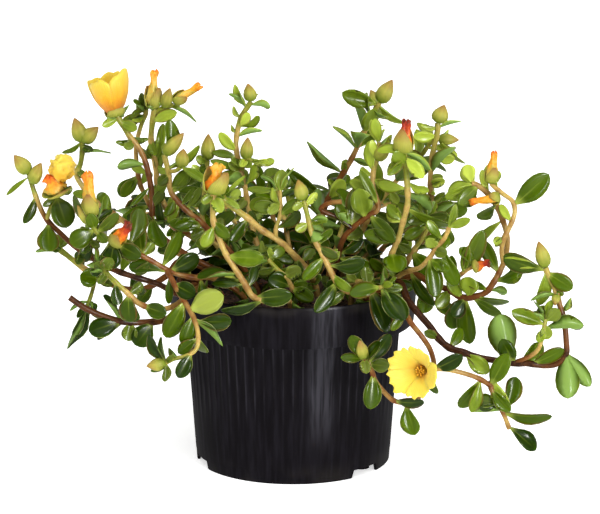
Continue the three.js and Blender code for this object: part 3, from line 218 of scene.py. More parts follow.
def juicyStemSkin():
    # Succulent stem: smooth, moist and round. Young stretches are pale green to cream,
    # old ones tan to red-brown, with fine streaks along them.
    look = {"olive": "#403f10", "young": "#7b8428", "cream": "#b89c56", "tan": "#6f421c", "old": "#2b1507",
            "blotchMm": 6, "streakMm": 1.1, "streakDepthMm": 0.2}
    material, shader, add = newMaterial(
        "juicyStem", Roughness=0.42, IOR=1.4, Specular_IOR_Level=0.05, Subsurface_Weight=0.2,
        Subsurface_Scale=0.002, Subsurface_Radius=(1.0, 0.6, 0.3), Coat_Weight=0.1, Coat_Roughness=0.3)
    coords = add("TexCoord")["Object"]
    bark = add("Attribute", attribute_name="bark")["Fac"]
    blotch = add("TexNoise", {"Vector": coords, "Scale": 1 / (look["blotchMm"] * mm)})["Fac"]
    streak = add("TexNoise", {"Vector": coords, "Scale": 1 / (look["streakMm"] * mm), "Detail": 3.0})["Fac"]
    uneven = add("Math", [blotch, 0.3, -0.15], operation="MULTIPLY_ADD")[0]
    shade = add("Math", [bark, uneven], operation="ADD")[0]
    skin = add("ValToRGB", [shade], [
        (0.0, look["olive"]), (0.14, look["young"]), (0.34, look["cream"]), (0.62, look["tan"]),
        (0.92, look["old"])])[0]
    line = add("MapRange", [streak, 0.45, 0.75, 0.0, 0.4], **soft)[0]
    skin = add("Mix", {0: line, 6: skin, 7: look["tan"]}, data_type="RGBA")[2]
    bump = add("Bump", {"Height": streak, "Strength": 0.25, "Distance": look["streakDepthMm"] * mm})[0]
    feed(shader, {"Base Color": skin, "Normal": bump})
    return material


def budSkin():
    # Sepals closed round a bud: matt olive green, reddish brown at the tip, with faint lengthwise veins.
    look = {"base": "#6e7c24", "tip": "#936238", "vein": "#a29c44", "blotchMm": 3, "veins": 25.0,
            "veinDepthMm": 0.2}
    material, shader, add = newMaterial(
        "closedSepals", Roughness=0.5, IOR=1.42, Specular_IOR_Level=0.1, Subsurface_Weight=0.15,
        Subsurface_Scale=0.0015, Subsurface_Radius=(0.8, 1.0, 0.2))
    coords = add("TexCoord")["Object"]
    along, across = (add("Attribute", attribute_name=key)["Fac"] for key in ("along", "across"))
    blotch = add("TexNoise", {"Vector": coords, "Scale": 1 / (look["blotchMm"] * mm)})["Fac"]
    lower = add("Math", [along, 0.15], operation="SUBTRACT")[0]
    shade = add("Math", [blotch, 0.3, lower], operation="MULTIPLY_ADD")[0]
    skin = add("ValToRGB", [shade], [(0.1, look["base"]), (0.55, look["vein"]), (1.0, look["tip"])])[0]
    turn = add("Math", [across, look["veins"]], operation="MULTIPLY")[0]
    wave = add("Math", [turn], operation="SINE")[0]
    veins = add("Math", [wave], operation="ABSOLUTE")[0]
    faint = add("Math", [veins, 0.25], operation="MULTIPLY")[0]
    skin = add("Mix", {0: faint, 6: skin, 7: look["base"]}, data_type="RGBA")[2]
    bump = add("Bump", {"Height": veins, "Strength": 0.3, "Distance": look["veinDepthMm"] * mm})[0]
    feed(shader, {"Base Color": skin, "Normal": bump})
    return material


def freshPetalSkin():
    # Petal tissue: thin, silky and slightly see-through, bright yellow with fine veins,
    # orange at the throat.
    look = {"lip": "#d6c24a", "middle": "#dc9c16", "throat": "#b4600c", "blotchMm": 4, "veins": 20.0,
            "veinDepthMm": 0.2}
    material, shader, add = newMaterial(
        "silkyPetal", Roughness=0.55, IOR=1.4, Specular_IOR_Level=0.2, Subsurface_Weight=0.35,
        Subsurface_Scale=0.002, Subsurface_Radius=(1.0, 0.8, 0.1), Sheen_Weight=0.15)
    coords = add("TexCoord")["Object"]
    along, across, rust = (add("Attribute", attribute_name=key)["Fac"] for key in ("along", "across", "rust"))
    blotch = add("TexNoise", {"Vector": coords, "Scale": 1 / (look["blotchMm"] * mm)})["Fac"]
    # the rust attribute makes a flower warmer: under 0 lemon, above it golden with a brown foot
    aged = add("Math", [along, rust], operation="SUBTRACT")[0]
    lower = add("Math", [aged, 0.12], operation="SUBTRACT")[0]
    shade = add("Math", [blotch, 0.25, lower], operation="MULTIPLY_ADD")[0]
    skin = add("ValToRGB", [shade], [(0.08, look["throat"]), (0.4, look["middle"]), (0.9, look["lip"])])[0]
    turn = add("Math", [across, look["veins"]], operation="MULTIPLY")[0]
    wave = add("Math", [turn], operation="SINE")[0]
    veins = add("Math", [wave], operation="ABSOLUTE")[0]
    faint = add("Math", [veins, 0.16], operation="MULTIPLY")[0]
    skin = add("Mix", {0: faint, 6: skin, 7: look["middle"]}, data_type="RGBA")[2]
    bump = add("Bump", {"Height": veins, "Strength": 0.4, "Distance": look["veinDepthMm"] * mm})[0]
    feed(shader, {"Base Color": skin, "Normal": bump})
    return material


def witheredPetalSkin():
    # Spent petals: wet, shrunken and twisted, orange with rusty red folds and a dark dry foot.
    look = {"cream": "#bfae4e", "yellow": "#e39a24", "orange": "#d9661a", "red": "#a5301a", "brown": "#5e2815",
            "foldMm": 1.6, "foldDepthMm": 0.6}
    material, shader, add = newMaterial(
        "spentPetal", Roughness=0.45, IOR=1.42, Specular_IOR_Level=0.2, Subsurface_Weight=0.2,
        Subsurface_Scale=0.0015, Subsurface_Radius=(1.0, 0.5, 0.1))
    coords = add("TexCoord")["Object"]
    rust = add("Attribute", attribute_name="rust")["Fac"]
    folds = add("TexNoise", {"Vector": coords, "Scale": 1 / (look["foldMm"] * mm), "Detail": 4.0})["Fac"]
    fresher = add("Math", [rust, 0.35], operation="SUBTRACT")[0]
    shade = add("Math", [folds, 0.7, fresher], operation="MULTIPLY_ADD")[0]
    skin = add("ValToRGB", [shade], [
        (0.0, look["cream"]), (0.25, look["yellow"]), (0.48, look["orange"]), (0.75, look["red"]),
        (1.0, look["brown"])])[0]
    bump = add("Bump", {"Height": folds, "Strength": 0.6, "Distance": look["foldDepthMm"] * mm})[0]
    feed(shader, {"Base Color": skin, "Normal": bump})
    return material


def stamenSkin():
    # Pollen-covered anthers and their filaments: powdery deep yellow, with grains drawn coarse enough
    # to show.
    look = {"deep": "#e08e12", "pale": "#f7cf3a", "grainMm": 0.5, "grainDepthMm": 0.2}
    material, shader, add = newMaterial("pollen", Roughness=0.8, IOR=1.4)
    coords = add("TexCoord")["Object"]
    grains = add("TexNoise", {"Vector": coords, "Scale": 1 / (look["grainMm"] * mm), "Detail": 2.0})["Fac"]
    skin = add("ValToRGB", [grains], [(0.3, look["deep"]), (0.7, look["pale"])])[0]
    bump = add("Bump", {"Height": grains, "Strength": 0.5, "Distance": look["grainDepthMm"] * mm})[0]
    feed(shader, {"Base Color": skin, "Normal": bump})
    return material


def mouldedPotPlastic():
    # Injection-moulded recycled polypropylene, carbon black: satin, with drawn-out vertical
    # marks from the mould and a thin film of dust near the rim and foot. Its flute ridges and three
    # upright bands are painted lighter, as painted highlights and a painted reflection of the lamp.
    # the ridge colour is a painted highlight on the flute ridges, and the colour of the three upright bands is
    # a painted reflection of the lamp
    look = {"black": "#060407", "grey": "#121015", "ridge": "#2c2a30", "paintedSheen": "#3c3b41", "dust": "#3c3833",
            "markMm": 2.2, "grainMm": 0.6, "cloudMm": 18, "sheenBands": 3, "sheenAt": -1.3, "markDepthMm": 0.3}
    material, shader, add = newMaterial(
        "mouldedPolypropylene", IOR=1.49, Specular_IOR_Level=0.0, Coat_Weight=0.09, Coat_Roughness=0.28)
    coords = add("TexCoord")["Object"]
    # the mapping squeezes height, so the marks run up the wall
    drawn = add("Mapping", {"Vector": coords, "Scale": (1.0, 1.0, 0.06)})[0]
    marks = add("TexNoise", {"Vector": drawn, "Scale": 1 / (look["markMm"] * mm), "Detail": 3.0})["Fac"]
    grain = add("TexNoise", {"Vector": coords, "Scale": 1 / (look["grainMm"] * mm), "Detail": 3.0})["Fac"]
    clouds = add("TexNoise", {"Vector": coords, "Scale": 1 / (look["cloudMm"] * mm), "Detail": 3.0})["Fac"]
    axes = add("SeparateXYZ", [coords])
    height = axes["Z"]
    streaks = add("MapRange", [marks, 0.35, 0.75], **soft)[0]
    skin = add("Mix", {0: streaks, 6: look["black"], 7: look["grey"]}, data_type="RGBA")[2]
    # the ridges between the flutes are painted lighter, a painted highlight of their shading, and so are three
    # upright bands of the wall, a painted reflection of the lamp
    angle = add("Math", [axes["Y"], axes["X"]], operation="ARCTAN2")[0]
    count = add("Math", [angle, potLook["flutes"] / (2 * math.pi)], operation="MULTIPLY")[0]
    share = add("Math", [count], operation="FRACT")[0]
    side = add("Math", [share, 2.0, -1.0], operation="MULTIPLY_ADD")[0]
    edge = add("Math", [side], operation="ABSOLUTE")[0]
    wallFoot = add("MapRange", [height, 0.026, 0.045], **soft)[0]
    wallTop = add("MapRange", [height, 0.0692, 0.0688], **soft)[0]
    onWall = add("Math", [wallFoot, wallTop], operation="MULTIPLY")[0]
    ridgeSheen = add("MapRange", [edge, 0.72, 1.0, 0.0, 0.55], **soft)[0]
    ridge = add("Math", [ridgeSheen, onWall], operation="MULTIPLY")[0]
    patches = add("MapRange", [clouds, 0.3, 0.6], **soft)[0]
    ridge = add("Math", [ridge, patches], operation="MULTIPLY")[0]
    skin = add("Mix", {0: ridge, 6: skin, 7: look["ridge"]}, data_type="RGBA")[2]
    # painted reflection: three upright lighter bands round the wall, one where the lamp's highlight falls,
    # streaked by the mould marks
    turned = add("Math", [angle, look["sheenAt"]], operation="SUBTRACT")[0]
    turns = add("Math", [turned, float(look["sheenBands"])], operation="MULTIPLY")[0]
    wave = add("Math", [turns], operation="COSINE")[0]
    band = add("MapRange", [wave, 0.9, 0.99], **soft)[0]
    sheenStreaks = add("MapRange", [marks, 0.3, 0.7, 0.15, 0.75], **soft)[0]
    paintedSheen = add("Math", [band, sheenStreaks], operation="MULTIPLY")[0]
    aboveFoot = add("MapRange", [height, 0.015, 0.045], **soft)[0]
    paintedSheen = add("Math", [paintedSheen, aboveFoot], operation="MULTIPLY")[0]
    skin = add("Mix", {0: paintedSheen, 6: skin, 7: look["paintedSheen"]}, data_type="RGBA")[2]
    rimDust = add("MapRange", [height, 0.084, 0.0895, 0.0, 0.30], **soft)[0]
    footDust = add("MapRange", [height, 0.012, 0.001, 0.0, 0.16], **soft)[0]
    dust = add("Math", [rimDust, footDust], operation="ADD")[0]
    thick = add("MapRange", [clouds, 0.4, 0.65], **soft)[0]
    dust = add("Math", [dust, thick], operation="MULTIPLY")[0]
    skin = add("Mix", {0: dust, 6: skin, 7: look["dust"]}, data_type="RGBA")[2]
    shine = add("Math", [marks, 0.2, 0.2], operation="MULTIPLY_ADD")[0]
    relief = add("Math", [grain, 0.4, marks], operation="MULTIPLY_ADD")[0]
    rough = add("Math", [dust, 0.5, shine], operation="MULTIPLY_ADD")[0]
    bump = add("Bump", {"Height": relief, "Strength": 0.18, "Distance": look["markDepthMm"] * mm})[0]
    feed(shader, {"Base Color": skin, "Roughness": rough, "Normal": bump})
    return material


def peatSkin():
    # Peat substrate with bark fibre: matt, nearly black when moist, with red-brown fibres.
    look = {"wet": "#1e1410", "peat": "#3a261b", "fibre": "#6b4630", "crumbMm": 2.4, "crumbDepthMm": 1.2}
    material, shader, add = newMaterial("moistPeat", Roughness=0.92, IOR=1.4)
    coords = add("TexCoord")["Object"]
    crumbs = add("TexNoise", {
        "Vector": coords, "Scale": 1 / (look["crumbMm"] * mm), "Detail": 5.0, "Roughness": 0.65})["Fac"]
    skin = add("ValToRGB", [crumbs], [(0.3, look["wet"]), (0.52, look["peat"]), (0.72, look["fibre"])])[0]
    bump = add("Bump", {"Height": crumbs, "Strength": 0.8, "Distance": look["crumbDepthMm"] * mm})[0]
    feed(shader, {"Base Color": skin, "Normal": bump})
    return material


def dryLitterSkin():
    # Dried petals and leaf scraps: papery, reddish brown.
    look = {"dark": "#5b2c1c", "brown": "#8a4a2c", "straw": "#b98a5a", "blotchMm": 2.5, "creaseDepthMm": 0.5}
    material, shader, add = newMaterial("dryLitter", Roughness=0.8, IOR=1.4)
    coords = add("TexCoord")["Object"]
    blotch = add("TexNoise", {"Vector": coords, "Scale": 1 / (look["blotchMm"] * mm), "Detail": 3.0})["Fac"]
    skin = add("ValToRGB", [blotch], [(0.3, look["dark"]), (0.55, look["brown"]), (0.75, look["straw"])])[0]
    bump = add("Bump", {"Height": blotch, "Strength": 0.5, "Distance": look["creaseDepthMm"] * mm})[0]
    feed(shader, {"Base Color": skin, "Normal": bump})
    return material


# Each branch has the route of its stem (mm), its girth and bark tone at start and end (0 green,
# 1 red-brown), its closed buds as (place along the route, tip x, y, z, width), added leaves as the
# same and a tone, and the number and length (mm) of the young leaves at its end.
shootBranches = {
    "shoot_far_left": [
        {"girth": (3.6, 2.6), "bark": (1.0, 0.55), "leaves": [
            (11.8, -135, -34, 139, 2.5, 0.5),
        ], "route": [
            (-34, -20, 80), (-40, -22, 90), (-53, -28, 97), (-54, -36, 91), (-64, -40, 97),
            (-81, -42, 103), (-92, -40, 108), (-102, -38, 114), (-109, -36, 120), (-116, -35, 127),
            (-120, -34, 135), (-123, -33, 144), (-124, -33, 149),
        ], "buds": [
            (12, -131, -35, 158, 6.5), (11.1, -118, -37, 155, 6),
        ]},
        {"girth": (2.6, 2.2), "bark": (0.4, 0.3), "tuft": (3, 7), "route": [
            (-116, -35, 127), (-114, -37, 133), (-111, -38, 139), (-110, -38, 142),
        ]},
        {"girth": (2.4, 2), "bark": (0.4, 0.2), "route": [
            (-92, -40, 108), (-92, -43, 114), (-95, -45, 120),
        ]},
    ],
    "shoot_left_under": [
        {"girth": (3.8, 3), "bark": (0.72, 0.62), "route": [
            (-28, -2, 80), (-33, -3, 90), (-53, -7, 100), (-61, -9, 93), (-74, -9, 86), (-87, -10, 89),
            (-95, -11, 94), (-101, -12, 98), (-107, -12, 103), (-112, -12, 107),
        ]},
        {"girth": (2.6, 2), "bark": (0.5, 0.3), "route": [
            (-95, -11, 93), (-96, -15, 88), (-98, -18, 82),
        ]},
    ],
    "shoot_cut_stub": [
        {"girth": (3.6, 3.4), "bark": (0.75, 0.85), "tuft": (0, 0), "leaves": [
            (4.8, -92, -61, 77, 6.5, 0.15),
        ], "route": [
            (-40, -30, 80), (-43, -33, 90), (-48, -41, 96), (-58, -57, 85), (-70, -58, 83),
            (-80, -60, 84), (-89, -61, 87), (-97, -62, 91), (-104, -62, 96),
        ]},
    ],
    "shoot_left_fork": [
        {"girth": (3.2, 2.4), "bark": (0.62, 0.46), "tuft": (3, 5), "leaves": [
            (6, -82, -59, 120, 8.5, 0.25), (5.7, -73, -58, 106, 4.5, 0.15),
        ], "route": [
            (-21, -35, 80), (-24, -38, 91), (-37, -42, 100), (-45, -52, 103), (-53, -54, 105),
            (-59, -56, 108), (-70, -58, 115), (-83, -60, 122), (-88, -60, 125), (-92, -60, 128),
            (-94, -59, 134),
        ], "buds": [
            (9.6, -100, -62, 140, 5.5),
        ]},
        {"girth": (3, 2), "bark": (0.6, 0.2), "leaves": [
            (0.3, -76, -58, 110, 5.5, 0.1), (0.5, -58, -58, 92, 3.5, 0.2), (4.9, -53, -72, 72, 5.5, 0.2),
        ], "route": [
            (-59, -56, 108), (-56, -59, 103), (-53, -62, 98), (-48, -66, 91), (-45, -69, 85),
            (-44, -71, 79), (-45, -73, 74), (-50, -74, 71), (-55, -75, 70), (-59, -75, 68),
        ], "buds": [
            (9, -68, -78, 67, 5.5),
        ]},
    ],
    "shoot_left_pale": [
        {"girth": (3.4, 2.6), "bark": (0.6, 0.35), "leaves": [
            (6.2, -76, -72, 87, 8.5, 0.15),
        ], "route": [
            (-33, -40, 80), (-36, -42, 90), (-44, -48, 97), (-55, -57, 91), (-63, -65, 91),
            (-71, -70, 95), (-75, -71, 99), (-81, -72, 105), (-85, -72, 109), (-88, -71, 112),
        ]},
    ],
    "shoot_bud_pair": [
        {"girth": (3.4, 2.8), "bark": (0.6, 0.25), "route": [
            (-26, 8, 80), (-29, 9, 90), (-47, 8, 96), (-61, 8, 103), (-74, 6, 111), (-87, 4, 121),
            (-96, 2, 128), (-101, 0, 135), (-104, 0, 141), (-102, 0, 146), (-101, 0, 152),
            (-101, 0, 157),
        ], "buds": [
            (11, -104, 0, 169, 7.5), (11, -93, -2, 165, 6.5),
        ]},
    ],
    "shoot_cup_flower": [
        {"girth": (3.2, 3), "bark": (0.7, 0.6), "tuft": (6, 8), "route": [
            (-24, -6, 80), (-26, -6, 90), (-42, -10, 99), (-54, -14, 107), (-63, -17, 115),
            (-67, -18, 122), (-67, -18, 132), (-68, -18, 142), (-70, -18, 151), (-73, -18, 158),
            (-77, -18, 163), (-80, -18, 168), (-83, -18, 173),
        ]},
    ],
    "shoot_back_pink": [
        {"girth": (3, 2.4), "bark": (0.55, 0.42), "leaves": [
            (8.8, -83, 14, 162, 6, 0.3), (10, -78, 14, 166, 3, 0.4), (6.1, -84, 16, 127, 6, 0.3),
        ], "route": [
            (-24, 22, 80), (-27, 23, 90), (-43, 22, 102), (-57, 22, 109), (-68, 20, 119), (-73, 18, 129),
            (-75, 17, 136), (-76, 16, 150), (-74, 15, 160), (-71, 15, 168), (-71, 15, 170),
        ]},
    ],
    "shoot_twin_withered": [
        {"girth": (3.2, 3.2), "bark": (0.6, 0.2), "tuft": (5, 8), "leaves": [
            (5.3, -65, 3, 157, 4.5, 0.6), (6, -62, 2, 165, 4, 0.6), (6.2, -70, 2, 154, 4.5, 0.3),
        ], "route": [
            (-20, 4, 80), (-22, 5, 90), (-39, 6, 103), (-52, 6, 111), (-61, 5, 123), (-65, 4, 134),
            (-66, 3, 145), (-68, 2, 157), (-67, 2, 168), (-66, 2, 173),
        ]},
        {"girth": (2.6, 2.4), "bark": (0.2, 0.1), "tuft": (3, 5), "route": [
            (-66, 2, 171), (-63, 1, 173), (-57, 0, 175),
        ], "buds": [
            (1.2, -58, -4, 184, 5.5),
        ]},
    ],
    "shoot_brown_twins": [
        {"girth": (3.2, 2.8), "bark": (0.66, 0.46), "leaves": [
            (6.8, -49, -23, 148, 6.5, 0.3), (7.2, -45, -23, 144, 4.5, 0.2),
        ], "route": [
            (-16, -14, 80), (-18, -15, 90), (-30, -18, 107), (-38, -20, 116), (-44, -22, 123),
            (-49, -22, 127), (-54, -22, 132), (-58, -22, 138), (-59, -21, 147), (-61, -20, 155),
        ], "buds": [
            (9, -51, -23, 166, 6.5),
        ]},
        {"girth": (2.4, 2.2), "bark": (0.4, 0.3), "route": [
            (-59, -21, 147), (-55, -23, 148), (-53, -24, 150),
        ], "buds": [
            (1.8, -51, -26, 159, 6.5),
        ]},
    ],
    "shoot_plump_bud": [
        {"girth": (3, 2.6), "bark": (0.5, 0.1), "route": [
            (-10, 0, 80), (-11, 0, 90), (-28, 0, 98), (-37, 0, 106), (-42, 0, 114), (-44, 0, 122),
            (-43, 0, 131), (-42, 0, 140), (-41, 0, 148),
        ], "buds": [
            (7.9, -40, 0, 161, 7),
        ]},
    ],
    "shoot_front_long": [
        {"girth": (3.4, 3), "bark": (0.5, 0.25), "tuft": (0, 0), "route": [
            (0, -42, 80), (-2, -46, 90), (-9, -54, 93), (-14, -59, 94), (-19, -59, 96), (-23, -60, 103),
            (-28, -60, 111), (-32, -60, 118), (-35, -60, 126), (-37, -60, 133), (-37, -60, 140),
            (-37, -60, 145),
        ]},
    ],
    "shoot_spire": [
        {"girth": (3.2, 2.6), "bark": (0.45, 0.26), "leaves": [
            (7.6, -38, -5, 153, 4, 0.4),
        ], "route": [
            (-8, -12, 80), (-9, -12, 90), (-13, -14, 101), (-18, -13, 112), (-20, -11, 121),
            (-22, -9, 130), (-23, -7, 137), (-25, -5, 144), (-27, -3, 153), (-27, -2, 160),
            (-25, -2, 169), (-22, -2, 174), (-20, -2, 177),
        ], "buds": [
            (11.8, -21, -2, 186, 6),
        ]},
        {"girth": (2.6, 2.4), "bark": (0.3, 0.25), "route": [
            (-25, -5, 144), (-23, -7, 148), (-22, -8, 151), (-20, -9, 149),
        ], "buds": [
            (1.7, -21, -8, 161, 6),
        ]},
    ],
    "shoot_diagonal": [
        {"girth": (3.6, 3.4), "bark": (0.42, 0.36), "route": [
            (12, -18, 80), (11, -20, 90), (6, -30, 102), (1, -35, 109), (-2, -38, 113), (-8, -41, 119),
            (-15, -43, 124), (-20, -45, 129), (-26, -47, 134), (-31, -48, 138), (-33, -48, 141),
        ]},
        {"girth": (2.4, 2), "bark": (0.3, 0.2), "tuft": (0, 0), "route": [
            (-8, -41, 119), (-8, -42, 124), (-6, -43, 131), (-6, -43, 138), (-6, -43, 143),
        ]},
    ],
    "shoot_front_bud": [
        {"girth": (3.4, 2.6), "bark": (0.45, 0.3), "route": [
            (27, -34, 80), (28, -36, 90), (31, -46, 95), (26, -51, 96), (21, -53, 100), (17, -54, 108),
            (13, -54, 116), (9, -54, 124), (7, -53, 132), (5, -52, 140),
        ], "buds": [
            (9, 2, -52, 150, 6),
        ]},
    ],
    "shoot_tall_right": [
        {"girth": (3.4, 2.8), "bark": (0.62, 0.45), "route": [
            (8, 24, 80), (9, 25, 90), (12, 26, 104), (16, 26, 120), (22, 26, 132), (28, 26, 142),
            (34, 26, 155), (39, 26, 166), (42, 26, 171),
        ], "buds": [
            (7.9, 48, 24, 183, 7), (7.7, 38, 29, 177, 5.5),
        ]},
    ],
    "shoot_hooked": [
        {"girth": (3.2, 2.6), "bark": (0.9, 0.25), "leaves": [
            (5, 15, -25, 129, 7, 0.12),
        ], "route": [
            (18, -12, 80), (18, -13, 90), (20, -18, 99), (22, -21, 108), (24, -23, 115), (28, -24, 120),
            (35, -25, 126), (40, -25, 129), (40, -24, 133), (38, -23, 139), (38, -22, 147),
            (40, -21, 154), (41, -20, 161),
        ], "buds": [
            (10.9, 45, -26, 162, 6),
        ]},
        {"girth": (2.8, 2.8), "bark": (0.95, 0.55), "tuft": (0, 0), "leaves": [
            (0.5, 21, -26, 133, 5.5, 0.3),
        ], "route": [
            (28, -24, 120), (22, -25, 125), (16, -26, 128), (13, -26, 130), (17, -27, 133),
            (23, -28, 134),
        ]},
    ],
    "shoot_red_tip": [
        {"girth": (3.4, 3), "bark": (0.4, 0.2), "tuft": (2, 5), "leaves": [
            (4.8, 34, -31, 119, 6.5, 0.3), (9.4, 45, -32, 148, 4, 0.6), (10, 40, -32, 160, 6.5, 0.8),
        ], "route": [
            (32, -10, 80), (34, -12, 90), (42, -20, 94), (45, -25, 102), (47, -28, 109), (50, -30, 117),
            (52, -31, 125), (54, -31, 133), (54, -31, 141), (53, -31, 152), (52, -31, 159),
        ]},
    ],
    "shoot_right_bud": [
        {"girth": (3.2, 3), "bark": (0.55, 0.3), "leaves": [
            (6.3, 72, -5, 141, 4.5, 0.3), (5.5, 73, -5, 133, 2.5, 0.3),
        ], "route": [
            (36, 2, 80), (38, 2, 90), (54, 0, 98), (61, -2, 107), (66, -3, 115), (67, -4, 124),
            (66, -4, 134), (66, -4, 144), (67, -4, 153), (69, -4, 163), (69, -4, 167),
        ], "buds": [
            (10, 72, -4, 176, 7),
        ]},
    ],
    "shoot_crossing": [
        {"girth": (3, 2.6), "bark": (0.5, 0.15), "route": [
            (24, 14, 80), (25, 15, 90), (32, 14, 106), (39, 13, 120), (49, 11, 134), (55, 9, 142),
            (62, 7, 149), (66, 6, 155), (71, 5, 158),
        ], "buds": [
            (7.8, 80, 5, 157, 5),
        ]},
    ],
    "shoot_right_loop": [
        {"girth": (3.6, 2.8), "bark": (0.75, 0.32), "tuft": (0, 0), "leaves": [
            (7.2, 83, -42, 98, 5.5, 0.3), (3, 62, -32, 81, 7.5, 0.3), (4.8, 75, -39, 75, 7, 0.15),
            (16, 73, -35, 140, 7.5, 0.8),
        ], "route": [
            (42, -16, 80), (47, -18, 90), (58, -23, 97), (65, -31, 95), (73, -35, 93), (80, -39, 90),
            (86, -41, 91), (91, -41, 93), (94, -41, 97), (97, -40, 102), (100, -39, 109),
            (101, -38, 117), (100, -37, 123), (97, -36, 131), (93, -35, 138), (87, -34, 143),
            (84, -34, 144),
        ]},
        {"girth": (2.8, 2.4), "bark": (0.42, 0.3), "tuft": (0, 0), "leaves": [
            (2.1, 94, -45, 118, 4, 0.6), (8, 97, -39, 151, 4.5, 0.7),
        ], "route": [
            (99, -39, 107), (98, -43, 114), (99, -44, 120), (102, -43, 126), (104, -42, 132),
            (103, -41, 137), (99, -40, 140), (95, -39, 143), (93, -38, 145),
        ]},
        {"girth": (2.4, 2.2), "bark": (0.5, 0.3), "tuft": (0, 0), "leaves": [
            (3, 78, -43, 115, 5.5, 0.5),
        ], "route": [
            (74, -35, 93), (76, -38, 98), (81, -40, 103), (85, -42, 106),
        ]},
    ],
    "shoot_right_long": [
        {"girth": (4.2, 2.9), "bark": (1.15, 0.62), "leaves": [
            (18.7, 124, -67, 101, 3.5, 0.5), (7.8, 91, -66, 61, 8, 0.25),
        ], "route": [
            (37, -28, 80), (41, -31, 90), (50, -37, 97), (54, -48, 91), (59, -54, 86), (64, -58, 81),
            (68, -61, 76), (73, -63, 72), (80, -65, 70), (87, -66, 68), (94, -67, 67), (102, -68, 66),
            (110, -69, 66), (117, -69, 65), (123, -69, 66), (127, -69, 71), (127, -69, 77),
            (126, -68, 86), (124, -67, 93), (122, -66, 100), (119, -65, 106), (117, -65, 111),
        ], "buds": [
            (20.9, 114, -66, 124, 6.5), (18.8, 121, -70, 94, 4),
        ]},
        {"girth": (2.6, 2.2), "bark": (0.7, 0.5), "route": [
            (103, -68, 66), (110, -71, 70), (114, -72, 74), (116, -72, 81), (117, -71, 88),
        ]},
        {"girth": (2.8, 2.4), "bark": (0.6, 0.4), "tuft": (0, 0), "leaves": [
            (3.3, 86, -73, 50, 6.5, 0.3),
        ], "route": [
            (97, -67, 66), (95, -70, 61), (92, -71, 56), (95, -72, 49), (98, -72, 43), (101, -71, 35),
        ]},
        {"girth": (2.8, 2.6), "bark": (0.6, 0.35), "tuft": (0, 0), "route": [
            (92, -71, 56), (86, -73, 60), (79, -75, 63), (71, -76, 65), (62, -75, 65),
        ]},
    ],
    "shoot_under_flower": [
        {"girth": (3.2, 2.4), "bark": (0.65, 0.5), "tuft": (0, 0), "route": [
            (31, -39, 80), (34, -43, 90), (41, -52, 97), (51, -62, 90), (55, -68, 85), (60, -70, 79),
            (64, -68, 72), (66, -64, 63), (65, -62, 56), (61, -63, 50), (55, -68, 47), (48, -74, 49),
            (43, -78, 54), (38, -80, 61), (36, -81, 67), (32, -82, 73),
        ], "buds": [
            (14.9, 31, -86, 82, 5.5),
        ]},
    ],
    "shoot_rim_rosette": [
        {"girth": (3, 2.4), "bark": (0.5, 0.2), "route": [
            (40, -6, 80), (43, -7, 90), (53, -13, 98), (57, -17, 107), (61, -19, 113), (64, -20, 120),
            (63, -20, 125),
        ]},
    ],
    "shoot_rim_right": [
        {"girth": (3, 2.4), "bark": (0.5, 0.3), "tuft": (0, 0), "route": [
            (42, -21, 80), (45, -22, 90), (51, -31, 99), (56, -38, 103), (60, -44, 106), (64, -46, 111),
            (67, -47, 116), (71, -47, 121), (73, -47, 126),
        ]},
    ],
    "shoot_over_rim": [
        {"girth": (2.8, 2.2), "bark": (0.5, 0.3), "route": [
            (21, -29, 80), (22, -31, 90), (28, -42, 98), (33, -49, 100), (37, -54, 98), (42, -57, 100),
        ]},
    ],
    "shoot_middle_low": [
        {"girth": (2.8, 2.2), "bark": (0.5, 0.3), "route": [
            (2, -32, 80), (2, -34, 90), (0, -40, 94), (-3, -44, 101), (-8, -46, 106), (-12, -47, 111),
        ]},
    ],
    "shoot_back_left": [
        {"girth": (3.4, 2.4), "bark": (0.6, 0.25), "route": [
            (-30, 14, 80), (-35, 16, 91), (-47, 37, 104), (-66, 58, 108), (-86, 76, 101), (-98, 88, 92),
        ]},
    ],
    "shoot_back_left_inner": [
        {"girth": (3.4, 2.4), "bark": (0.6, 0.25), "route": [
            (-16, 30, 80), (-20, 33, 91), (-31, 52, 110), (-46, 78, 108), (-58, 98, 95),
        ]},
    ],
    "shoot_back_middle": [
        {"girth": (3.2, 2.4), "bark": (0.6, 0.25), "leaves": [
            (2.7, -17, 78, 128, 4.5, 0.4),
        ], "route": [
            (-4, 32, 80), (-6, 35, 91), (-12, 58, 114), (-18, 88, 108), (-20, 108, 92),
        ]},
    ],
    "shoot_back_right_inner": [
        {"girth": (3.2, 2.4), "bark": (0.6, 0.25), "route": [
            (8, 30, 80), (10, 33, 91), (16, 54, 116), (24, 84, 112), (30, 104, 96),
        ]},
    ],
    "shoot_back_right": [
        {"girth": (3.4, 2.4), "bark": (0.6, 0.25), "route": [
            (22, 24, 80), (26, 28, 91), (40, 50, 112), (58, 76, 108), (70, 92, 96),
        ]},
    ],
    "shoot_back_far_right": [
        {"girth": (3.4, 2.4), "bark": (0.6, 0.25), "route": [
            (32, 14, 80), (37, 17, 91), (52, 30, 106), (64, 40, 111), (72, 44, 113),
        ]},
        {"girth": (2.8, 2.2), "bark": (0.5, 0.2), "route": [
            (64, 40, 111), (66, 60, 110), (64, 78, 101), (60, 90, 90),
        ]},
    ],
    "shoot_inner_left": [
        {"girth": (3, 2.2), "bark": (0.6, 0.25), "route": [
            (-12, 20, 80), (-14, 22, 91), (-26, 30, 108), (-40, 38, 120),
        ]},
    ],
    "shoot_inner_right": [
        {"girth": (3, 2.2), "bark": (0.6, 0.25), "route": [
            (10, 14, 80), (12, 16, 91), (24, 26, 108), (36, 36, 121),
        ]},
    ],
    "shoot_inner_far_left": [
        {"girth": (3, 2.2), "bark": (0.6, 0.25), "route": [
            (-20, 13, 80), (-21, 14, 91), (-36, 12, 107), (-52, 14, 119),
